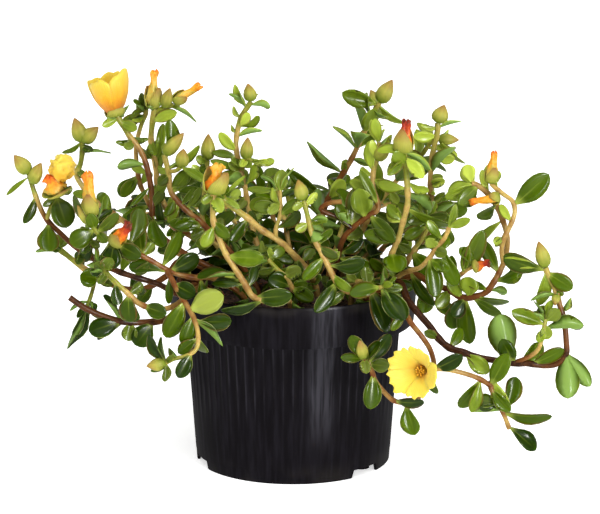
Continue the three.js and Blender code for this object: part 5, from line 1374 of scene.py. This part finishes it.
def rootBall():
    # The peat fills the pot; its upper face is uneven.
    look = soilLook
    rows = [(0, 2.3), (28, 2.3), (31, 6.3), (45.1, 6.4), (49.9, 67.5), (56.2, 72.5), (56.9, 81.8), (55.5, 83.6)]
    for share in (k / 11 for k in range(1, 11)):
        rows.append((look["radius"] * (1 - share), look["top"] + look["crown"] * share ** 0.5))
    rows += [(0, look["top"] + look["crown"])]
    mesh = latheMesh("potting_soil_ball", rows, look["sides"])
    coarse, fine = look["lumpScales"]
    for vertex in mesh.vertices:
        if vertex.co.z > look["lumpsAbove"] * mm:
            lump = noise.noise(vertex.co * coarse) + look["fineShare"] * noise.noise(vertex.co * fine)
            vertex.co.z += look["swell"] * mm * lump
    return mesh


def crumbShape(name, flat, seed):
    # A rough lump of peat.
    work = bmesh.new()
    bmesh.ops.create_icosphere(work, subdivisions=1, radius=0.5)
    rng = random.Random(seed)
    for vertex in work.verts:
        vertex.co *= rng.uniform(*soilLook["crumbRough"])
        vertex.co.z *= flat
    mesh = bpy.data.meshes.new(name)
    work.to_mesh(mesh)
    work.free()
    return newObject(name, mesh)


def scrapShape(name, curl, seed):
    # A dried scrap of petal or leaf: a thin curled flake.
    look, rng = soilLook, random.Random(seed)
    points, faces, across = [], [], 5
    for layer in (1, -1):
        for i in range(across):
            for j in range(across):
                u, v = i / (across - 1) - 0.5, j / (across - 1) - 0.5
                ragged = rng.uniform(*look["litterRough"]) if layer == 1 else 0.9
                rise = curl * (u * u + 0.4 * u * v) + layer * look["litterThick"] / 2
                points.append((u * ragged, v * look["litterWidth"] * ragged, rise))
    count = across * across
    for i in range(across - 1):
        for j in range(across - 1):
            a = i * across + j
            quad = (a, a + across, a + across + 1, a + 1)
            faces.append(quad)
            faces.append(tuple(count + k for k in reversed(quad)))
    rim = [i * across for i in range(across)] + [(across - 1) * across + j for j in range(1, across)]
    rim += [i * across + across - 1 for i in range(across - 2, -1, -1)] + [j for j in range(across - 2, 0, -1)]
    for a, b in zip(rim, rim[1:] + rim[:1]):
        faces.append((b, a, a + count, b + count))
    mesh = meshFrom(name, points, faces)
    outward(mesh)
    return newObject(name, mesh)


def scatterTree():
    # Lays a number of shapes on the upper faces of a mesh, turned at random.
    tree, given, add = newTree("scatter", {
        "Density": ("NodeSocketFloat", 1000.0), "Smallest": ("NodeSocketFloat", 0.001),
        "Largest": ("NodeSocketFloat", 0.003), "Steepest": ("NodeSocketFloat", 0.4),
        "Lowest": ("NodeSocketFloat", 0.08), "Seed": ("NodeSocketInt", 0),
        "Shapes": ("NodeSocketCollection", None), "Skin": ("NodeSocketMaterial", None)})
    upward = add("SeparateXYZ", [add("GeometryNodeInputNormal")[0]])["Z"]
    height = add("SeparateXYZ", [add("GeometryNodeInputPosition")[0]])["Z"]
    faceUp = add("Math", [upward, given["Steepest"]], operation="GREATER_THAN")[0]
    highUp = add("Math", [height, given["Lowest"]], operation="GREATER_THAN")[0]
    chosen = add("Math", [faceUp, highUp], operation="MULTIPLY")[0]
    points = add("GeometryNodeDistributePointsOnFaces", {
        "Mesh": given["Geometry"], "Selection": chosen, "Density": given["Density"], "Seed": given["Seed"]})[0]
    turn = add("FunctionNodeRandomValue", [(-0.5, -0.5, 0.0), (0.5, 0.5, 6.28)], data_type="FLOAT_VECTOR")[0]
    size = add("FunctionNodeRandomValue", {2: given["Smallest"], 3: given["Largest"]}, data_type="FLOAT")[1]
    source = add("GeometryNodeCollectionInfo", {
        "Collection": given["Shapes"], "Separate Children": True, "Reset Children": True})[0]
    placed = add("GeometryNodeInstanceOnPoints", {
        "Points": points, "Instance": source, "Pick Instance": True, "Rotation": turn, "Scale": size})[0]
    real = add("GeometryNodeRealizeInstances", [placed])[0]
    rounded = add("GeometryNodeSetShadeSmooth", {"Geometry": real, "Shade Smooth": True})[0]
    done = add("GeometryNodeSetMaterial", {"Geometry": rounded, "Material": given["Skin"]})[0]
    add("NodeGroupOutput", [done])
    return tree


def soil():
    look = soilLook
    peat, litter = peatSkin(), dryLitterSkin()
    ball = newObject("potting_soil_ball", rootBall(), [peat])
    crumbs = hidden("crumbShapes", [crumbShape(f"crumb{k}", look["crumbFlat"], k) for k in range(3)])
    scraps = hidden("scrapShapes", [
        scrapShape(f"scrap{k}", curl, k) for k, curl in enumerate(look["litterCurls"])])
    tree = scatterTree()
    area = math.pi * (look["radius"] * mm) ** 2
    for name, number, sizes, shapes, skin in (
            ("peat_crumbs", look["crumbs"], look["crumbSize"], crumbs, peat),
            ("dry_litter", look["litter"], look["litterSize"], scraps, litter)):
        bed = newObject(name + "_bed", ball.data.copy())
        mesh = runTree(bed, tree, name, **{
            "Density": number / area, "Smallest": sizes[0] * mm, "Largest": sizes[1] * mm,
            "Steepest": look["steepest"], "Lowest": look["bedAbove"] * mm, "Seed": look["seed"],
            "Shapes": shapes, "Skin": skin})
        bpy.data.objects.remove(bed)
        settle(newObject(name, mesh), "potting_soil")
    settle(ball, "potting_soil", "potting_soil")


soil()
print("soil")


# base, tip and width are in mm, turn rolls a flower about its axis in degrees, and warm runs from
# lemon under 0 to golden above it. radius and height run along a petal as shares of half the width
# and of the length. Petals are listed as (turn, half spread in degrees, length, rise of the lip to
# its right).
freshFlowers = {
    "cup_flower": {
        "base": (-83.8, -18, 173), "tip": (-88.2, -17, 195.3), "width": 19.5, "turn": 0, "warm": 0.17,
        "husk": (0.44, 0.26),
        "radius": [(0, 0.12), (0.15, 0.34), (0.3, 0.58), (0.5, 0.82), (0.75, 0.98), (1, 1.0)],
        "height": [(0, 0), (0.15, 0.1), (0.3, 0.24), (0.5, 0.45), (0.75, 0.73), (1, 1)],
        "petals": [(95, 48, 0.86, 0.0), (165, 48, 0.90, 0.02), (-125, 48, 0.86, 0.0),
                   (-38, 47, 0.86, 0.07), (36, 50, 0.93, 0.15)],
        "notch": 0.03, "ruffle": 0.25, "stamens": 16,
    },
    "open_flower": {
        "base": (62, -75, 65), "tip": (54.5, -90, 67), "width": 26, "turn": 12, "warm": -0.3,
        "radius": [(0, 0.07), (0.2, 0.17), (0.4, 0.33), (0.6, 0.6), (0.8, 0.87), (1, 1.0)],
        "height": [(0, 0), (0.2, 0.24), (0.4, 0.52), (0.6, 0.78), (0.8, 0.94), (1, 1.0)],
        "petals": [(0, 42, 1.0, 0.0), (72, 43, 0.93, 0.04), (144, 42, 1.02, 0.0),
                   (216, 43, 0.96, -0.04), (288, 42, 0.9, 0.03)],
        "notch": 0.12, "ruffle": 1.5, "stamens": 14, "round": 0.26,
    },
    "crumpled_flower": {
        "base": (-108.5, -38.5, 146.5), "tip": (-107.5, -39, 158.5), "width": 14, "turn": 20, "warm": -0.1,
    },
}
# Each has its base, tip and width in mm, its rust at the foot and the tip (0 yellow, 1 brown), and
# the sepals' share of its length.
spentFlowers = {
    "withered_flower_far_left": ((-110.5, -38, 140.5), (-113.5, -40, 149.5), 11.5, (0.0, 0.55), 0.2),
    "withered_flower_left": ((-94, -59, 134), (-95, -59, 155.5), 7.4, (-0.1, 0.42), 0.46),
    "withered_flower_red": ((-83, -60, 122), (-75, -68, 132), 7, (0.1, 1.0), 0.45),
    "withered_flower_upright": ((-67, 2, 173), (-66.4, 2, 191.3), 6.4, (-0.2, 0.34), 0.5),
    "withered_flower_sideways": ((-57, 0, 176.5), (-44.3, -1, 185), 5, (-0.1, 0.36), 0.4),
    "withered_flower_middle": ((-37, -60, 145), (-34, -60, 159), 9.2, (0.5, 0.12), 0.72),
    "withered_flower_right": ((51.5, -31, 158), (53, -31, 174), 8.2, (0.1, 0.95), 0.66),
    "withered_flower_loop": ((93, -38, 145), (94, -37, 160), 5.6, (-0.1, 0.42), 0.46),
    "withered_flower_stem": ((97, -42, 139), (83, -41, 137), 4.6, (0.1, 0.4), 0.3),
    "withered_flower_low": ((85, -42, 106), (92, -45, 108), 5.5, (0.2, 0.9), 0.45),
}


flowerLook = {
    "petalThick": 0.35, "sepalThick": 0.45,                              # mm
    "round": 0.16, "narrow": (0.9, 1.0, 0.92), "husk": (0.2, 0.26),      # where a fresh flower says no other
    "notchWidth": 0.22,                                                  # of half a petal's width
    "lap": 0.35,                    # mm that one side of a petal lies outside the other
    "waves": (3.4, 7.3), "fineShare": 0.5, "waveOut": 0.45, "waveUp": 0.55,      # of the ruffle
    "stamenReach": 0.52, "stamenSpread": 0.09, "ovary": 0.085,           # of a flower's length and width
    "stamenTurn": 2.4, "stamenHeights": (0.82, 1.05), "stamenFoot": (0.25, 0.35),
    "sepals": 2, "huskWidth": 1.12, "huskReach": 1.15, "huskTurn": 20, "huskSpread": 96,
    "spentTurn": 40, "spentSides": 20, "spentWidth": 0.92, "spentBend": 0.6,
}


def petalGrid(petal, look, reach, rng, rows=10, columns=13):
    # One petal, sepal or husk as rows of points round the axis, from its foot to its lip.
    usual = flowerLook
    turn, spread, length, rise = petal
    places, radii = zip(*look["radius"])
    broad, fine = usual["waves"]
    phase = rng.uniform(0, 6)
    grid, along, across = [], [], []
    for i in range(rows):
        t = i / (rows - 1)
        row = []
        for j in range(columns):
            u = 2 * j / (columns - 1) - 1
            notch = look["notch"] * math.exp(-(u / usual["notchWidth"]) ** 2)
            lip = length + rise * u - notch - look["round"] * abs(u) ** 3
            reachHere = t * lip
            narrow = np.interp(t, (0, 0.5, 1), look["narrow"])
            angle = math.radians(turn + u * spread * narrow)
            radius = np.interp(reachHere, places, radii) * look["width"] / 2
            height = np.interp(reachHere, *zip(*look["height"])) * reach
            wave = look["ruffle"] * t * t * math.sin(broad * u * math.pi + phase)
            wave += usual["fineShare"] * look["ruffle"] * t * t * math.sin(fine * u + 2 * phase)
            radius += usual["lap"] * u * t + usual["waveOut"] * wave
            height += usual["waveUp"] * wave
            row.append(Vector((radius * math.sin(angle), -radius * math.cos(angle), height)))
            along.append(t)
            across.append(u)
        grid.append(row)
    return grid, along, across


def sheetPart(grid, thick, skin, along, across, rust=0.0):
    # A thin closed sheet over a grid of points.
    rows, columns = len(grid), len(grid[0])
    points = []
    for side in (0.5, -0.5):
        for i in range(rows):
            for j in range(columns):
                down = grid[min(i + 1, rows - 1)][j] - grid[max(i - 1, 0)][j]
                over = grid[i][min(j + 1, columns - 1)] - grid[i][max(j - 1, 0)]
                normal = over.cross(down)
                normal = normal.normalized() if normal.length > 1e-6 else Vector((0, 0, 1))
                points.append(grid[i][j] + normal * thick * side)
    count = rows * columns
    faces = []
    for i in range(rows - 1):
        for j in range(columns - 1):
            a = i * columns + j
            quad = (a, a + 1, a + columns + 1, a + columns)
            faces += [quad, tuple(count + k for k in reversed(quad))]
    rim = list(range(columns)) + [i * columns + columns - 1 for i in range(1, rows)]
    rim += [(rows - 1) * columns + j for j in range(columns - 2, -1, -1)]
    rim += [i * columns for i in range(rows - 2, 0, -1)]
    for a, b in zip(rim, rim[1:] + rim[:1]):
        faces.append((b, a, a + count, b + count))
    return {"points": points, "faces": faces, "skin": skin, "along": along * 2, "across": across * 2,
            "rust": [rust] * (2 * count)}


def ringPart(rows, sides, skin, along, rust):
    # A closed body over rings of points; the first and last rows are single points.
    points = [rows[0][0]] + [p for row in rows[1:-1] for p in row] + [rows[-1][0]]
    spread, rusty = (
        [values[0], *(v for v in values[1:-1] for _ in range(sides)), values[-1]] for values in (along, rust))
    return {"points": points, "faces": ringFaces(len(rows) - 2, sides), "skin": skin, "along": spread,
            "across": [0.0] * len(points), "rust": rusty}


def stamenParts(number, height, radius, skin, rng):
    # Filaments with a rounded anther each, leaning out from the throat.
    parts, sides = [], 6
    inner, low = flowerLook["stamenFoot"]
    for k in range(number):
        angle = k * flowerLook["stamenTurn"] + rng.uniform(-0.2, 0.2)
        lean = radius * math.sqrt((k + 0.5) / number)
        rise = height * rng.uniform(*flowerLook["stamenHeights"])
        top = Vector((lean * math.cos(angle), lean * math.sin(angle), rise))
        foot = Vector((inner * top.x, inner * top.y, low * height))
        rows = [[foot]]
        for t, r in ((0.02, 0.14), (0.85, 0.12), (0.88, 0.42), (0.94, 0.5), (0.99, 0.32)):
            centre = foot.lerp(top, t)
            turns = [i * math.pi / 3 for i in range(sides)]
            rows.append([centre + Vector((r * math.cos(a), r * math.sin(a), 0)) for a in turns])
        rows.append([top])
        parts.append(ringPart(rows, sides, skin, [0] * len(rows), [0] * len(rows)))
    return parts


def ovaryPart(reach, radius, rust):
    # The rounded ovary that closes a flower's throat.
    sides = 12
    rows, along = [[Vector((0, 0, -0.02 * reach))]], [0.1]
    for t, share in ((0.03, 0.75), (0.1, 1.0), (0.18, 0.9), (0.25, 0.5)):
        turns, r = [i * math.pi / 6 for i in range(sides)], share * radius
        rows.append([Vector((r * math.cos(a), r * math.sin(a), t * reach)) for a in turns])
        along.append(0.3)
    rows.append([Vector((0, 0, 0.28 * reach))])
    along.append(0.3)
    return ringPart(rows, sides, 0, along, [rust] * len(along))


def spindleParts(width, reach, rust, rng):
    # Shrunken petals twisted together into a finger.
    usual = flowerLook
    lowRust, highRust = rust
    profile = [(0.04, 0.5), (0.12, 0.85), (0.24, 1.0), (0.36, 0.98), (0.48, 0.84), (0.6, 0.66), (0.7, 0.56),
               (0.78, 0.56), (0.85, 0.66), (0.91, 0.74), (0.96, 0.7), (0.985, 0.4)]
    sides, phase = usual["spentSides"], rng.uniform(0, 6)
    bend = rng.uniform(-usual["spentBend"], usual["spentBend"])
    rows, along, rusty = [[Vector((0, 0, 0))]], [0], [lowRust]
    for t, share in profile:
        ring = []
        for k in range(sides):
            a = 2 * math.pi * k / sides
            fold = 0.26 * math.sin(4 * a + 7 * t + phase) + 0.16 * math.sin(9 * a - 6 * t + 2 * phase)
            flat = 1 - 0.45 * t * abs(math.sin(a))
            r = share * width / 2 * (1 + fold * (0.4 + t)) * flat * usual["spentWidth"]
            ragged = 0.25 * math.sin(3 * a + phase) + 1.1 * math.sin(6 * a - phase) * t ** 6
            ring.append(Vector((r * math.cos(a) + bend * t * t, r * math.sin(a), t * reach + ragged * t)))
        rows.append(ring)
        along.append(t)
        rusty.append(lowRust + (highRust - lowRust) * t ** 1.3)
    rows.append([Vector((bend, 0, reach * 0.97))])
    return [ringPart(rows, sides, 0, along + [1], rusty + [highRust])]


def crumpleParts(look, reach, rng):
    # A spent flower that has folded into an uneven ball.
    rows, sides, seed = 22, 28, Vector((rng.uniform(0, 9), rng.uniform(0, 9), rng.uniform(0, 9)))
    rings, along = [], []
    for i in range(rows + 1):
        high, ring = math.pi * i / rows, []
        for k in range(sides if 0 < i < rows else 1):
            a = 2 * math.pi * k / sides
            way = Vector((math.sin(high) * math.cos(a), math.sin(high) * math.sin(a), -math.cos(high)))
            fold = 1 - 2.6 * abs(noise.noise(way * 1.7 + seed))
            crease = 1 - 2 * abs(noise.noise(way * 3.6 - seed))
            swell = 0.66 + 0.26 * fold + 0.16 * crease
            ring.append(Vector((
                way.x * look["width"] / 2 * swell, way.y * look["width"] / 2 * swell,
                reach * (0.5 + 0.56 * way.z * swell))))
        rings.append(ring)
        along.append(0.25 + 0.6 * i / rows)
    return [ringPart(rings, sides, 0, along, [look["warm"]] * (rows + 1))]


def flowerMesh(name, base, tip, turn, parts, materials):
    # Joins the parts of a flower and stands them between base and tip.
    axis = Vector(tip) - Vector(base)
    upright = axis.normalized().to_track_quat("Z", "Y").to_matrix()
    # the local -Y side is the one that faces the front
    front = upright.inverted() @ Vector((0, -1, 0))
    spin = Matrix.Rotation(math.atan2(front.x, -front.y) + math.radians(turn), 3, "Z")
    points, faces, skins, rows = [], [], [], {"along": [], "across": [], "rust": []}
    for part in parts:
        start = len(points)
        points += [tuple((Vector(base) + upright @ (spin @ p)) * mm) for p in part["points"]]
        faces += [tuple(start + k for k in face) for face in part["faces"]]
        skins += [part["skin"]] * len(part["faces"])
        for key in rows:
            rows[key] += part[key]
    mesh = meshFrom(name, points, faces)
    for material in materials:
        mesh.materials.append(material)
    mesh.polygons.foreach_set("material_index", skins)
    outward(mesh)
    for key, values in rows.items():
        putAttribute(mesh, key, values)
    return mesh


def huskParts(width, reach, share, rng):
    # Sepals that clasp the foot of a flower.
    look = {"radius": [(0, 0.35), (0.25, 0.98), (0.6, 1.12), (1, 1.0)],
            "height": [(0, 0), (0.25, 0.1 * share), (1, share)],
            "width": width, "notch": 0.0, "round": 0.0, "ruffle": 0.08, "narrow": (1.0, 0.75, 0.12)}
    parts, count = [], flowerLook["sepals"]
    for k in range(count):
        sepal = (k * 360 / count + flowerLook["huskTurn"], flowerLook["huskSpread"], 1.0, 0)
        grid, along, across = petalGrid(sepal, look, reach, rng, rows=8, columns=11)
        parts.append(sheetPart(grid, flowerLook["sepalThick"], 1, along, across))
    return parts


def flowers():
    usual = flowerLook
    petals, sepals, spent, pollen = freshPetalSkin(), budSkin(), witheredPetalSkin(), stamenSkin()
    for node, look in freshFlowers.items():
        rng = random.Random(node)
        look = {**{key: usual[key] for key in ("round", "narrow", "husk")}, **look}
        reach = (Vector(look["tip"]) - Vector(look["base"])).length
        parts = []
        for petal in look.get("petals", []):
            grid, along, across = petalGrid(petal, look, reach, rng)
            parts.append(sheetPart(grid, usual["petalThick"], 0, along, across, look["warm"]))
        if parts:
            parts += stamenParts(
                look["stamens"], usual["stamenReach"] * reach, usual["stamenSpread"] * look["width"], 2, rng)
            parts.append(ovaryPart(reach, usual["ovary"] * look["width"], look["warm"]))
            huskWidth, huskReach = look["husk"]
            parts += huskParts(huskWidth * look["width"], reach, huskReach, rng)
        else:
            parts = crumpleParts(look, reach, rng)
        mesh = flowerMesh(
            node + "_corolla", look["base"], look["tip"], look["turn"], parts, [petals, sepals, pollen])
        settle(newObject(node + "_corolla", mesh), "yellow_petal", node)
    for node, (base, tip, width, rust, husk) in spentFlowers.items():
        rng = random.Random(node)
        reach = (Vector(tip) - Vector(base)).length
        parts = spindleParts(width, reach, rust, rng)
        parts += huskParts(width * usual["huskWidth"], reach, usual["huskReach"] * husk, rng)
        turn = rng.uniform(-usual["spentTurn"], usual["spentTurn"])
        mesh = flowerMesh(node + "_petals", base, tip, turn, parts, [spent, sepals])
        settle(newObject(node + "_petals", mesh), "withered_petal", node)


flowers()
print("flowers")


studioLook = {
    "ground": "#fbfbfb", "glow": 0.6, "floorSize": 24.0, "world": 0.4,
    "sun": 2.3, "sunAngle": 60, "sunWay": (-0.12, 0.55, -1),
    # place and aim in m, width and height in m, watts, and whether it is left out of diffuse light
    "lamps": {
        "keyLamp": ((1.25, -2.1, 0.6), (0, 0, 0.1), (0.24, 1.15), 34, False),
        "glossLamp": ((1.25, -2.15, 0.42), (0, 0, 0.08), (0.22, 0.8), 130, True),
        "sideLamp": ((-2.2, -1.0, 0.6), (0, 0, 0.1), (0.3, 1.15), 10, False),
    },
}


def stand(name, data, place, way):
    # A lamp or a camera that looks along a direction.
    piece = bpy.data.objects.new(name, data)
    piece.location = place
    piece.rotation_euler = way.to_track_quat("-Z", "Y").to_euler()
    bpy.context.scene.collection.objects.link(piece)
    return piece


def studio():
    look = studioLook
    half = look["floorSize"] / 2
    corners = [(-half, -half, 0), (half, -half, 0), (half, half, 0), (-half, half, 0)]
    # the floor glows, a painted light with no lamp: it fills the shadows cast on it and lights the plant from
    # below
    ground = newMaterial(
        "glowingPaperSweep", Base_Color=look["ground"], Emission_Color=look["ground"], Emission_Strength=look["glow"],
        Roughness=0.9, Specular_IOR_Level=0.1)[0]
    newObject("studioFloor", meshFrom("studioFloor", corners, [(0, 1, 2, 3)], False), [ground])
    world = bpy.data.worlds.new("studioWorld")
    world.use_nodes = True
    feed(world.node_tree.nodes["Background"], {"Color": "#ffffff", "Strength": look["world"]})
    bpy.context.scene.world = world
    sun = bpy.data.lights.new("skyLamp", "SUN")
    sun.energy, sun.angle = look["sun"], math.radians(look["sunAngle"])
    stand("skyLamp", sun, (0, 0, 0), Vector(look["sunWay"]))
    for name, (place, aim, size, power, glossOnly) in look["lamps"].items():
        lamp = bpy.data.lights.new(name, "AREA")
        lamp.shape = "RECTANGLE"
        lamp.size, lamp.size_y = size
        lamp.energy = power
        stand(name, lamp, place, Vector(aim) - Vector(place)).visible_diffuse = not glossOnly


cameraLook = {
    "place": (0, -1.5834, 0.4872), "aim": (0, 0, 0.06),    # m
    "right": 7 / 3374.5, "up": 80.4 / 3374.5,              # how far the view is turned off the aim
    "lens": 202.47, "sensor": 36, "clipEnd": 60,
}


def camera():
    look = cameraLook
    place = Vector(look["place"])
    ahead = (Vector(look["aim"]) - place).normalized()
    right = ahead.cross(Vector((0, 0, 1))).normalized()
    ahead = (ahead + right * look["right"] + right.cross(ahead) * look["up"]).normalized()
    lens = bpy.data.cameras.new("camera")
    lens.lens, lens.sensor_width, lens.clip_end = look["lens"], look["sensor"], look["clipEnd"]
    bpy.context.scene.camera = stand("camera", lens, place, ahead)


studio()
camera()
bpy.context.scene.view_settings.view_transform = "Standard"
print("studio")
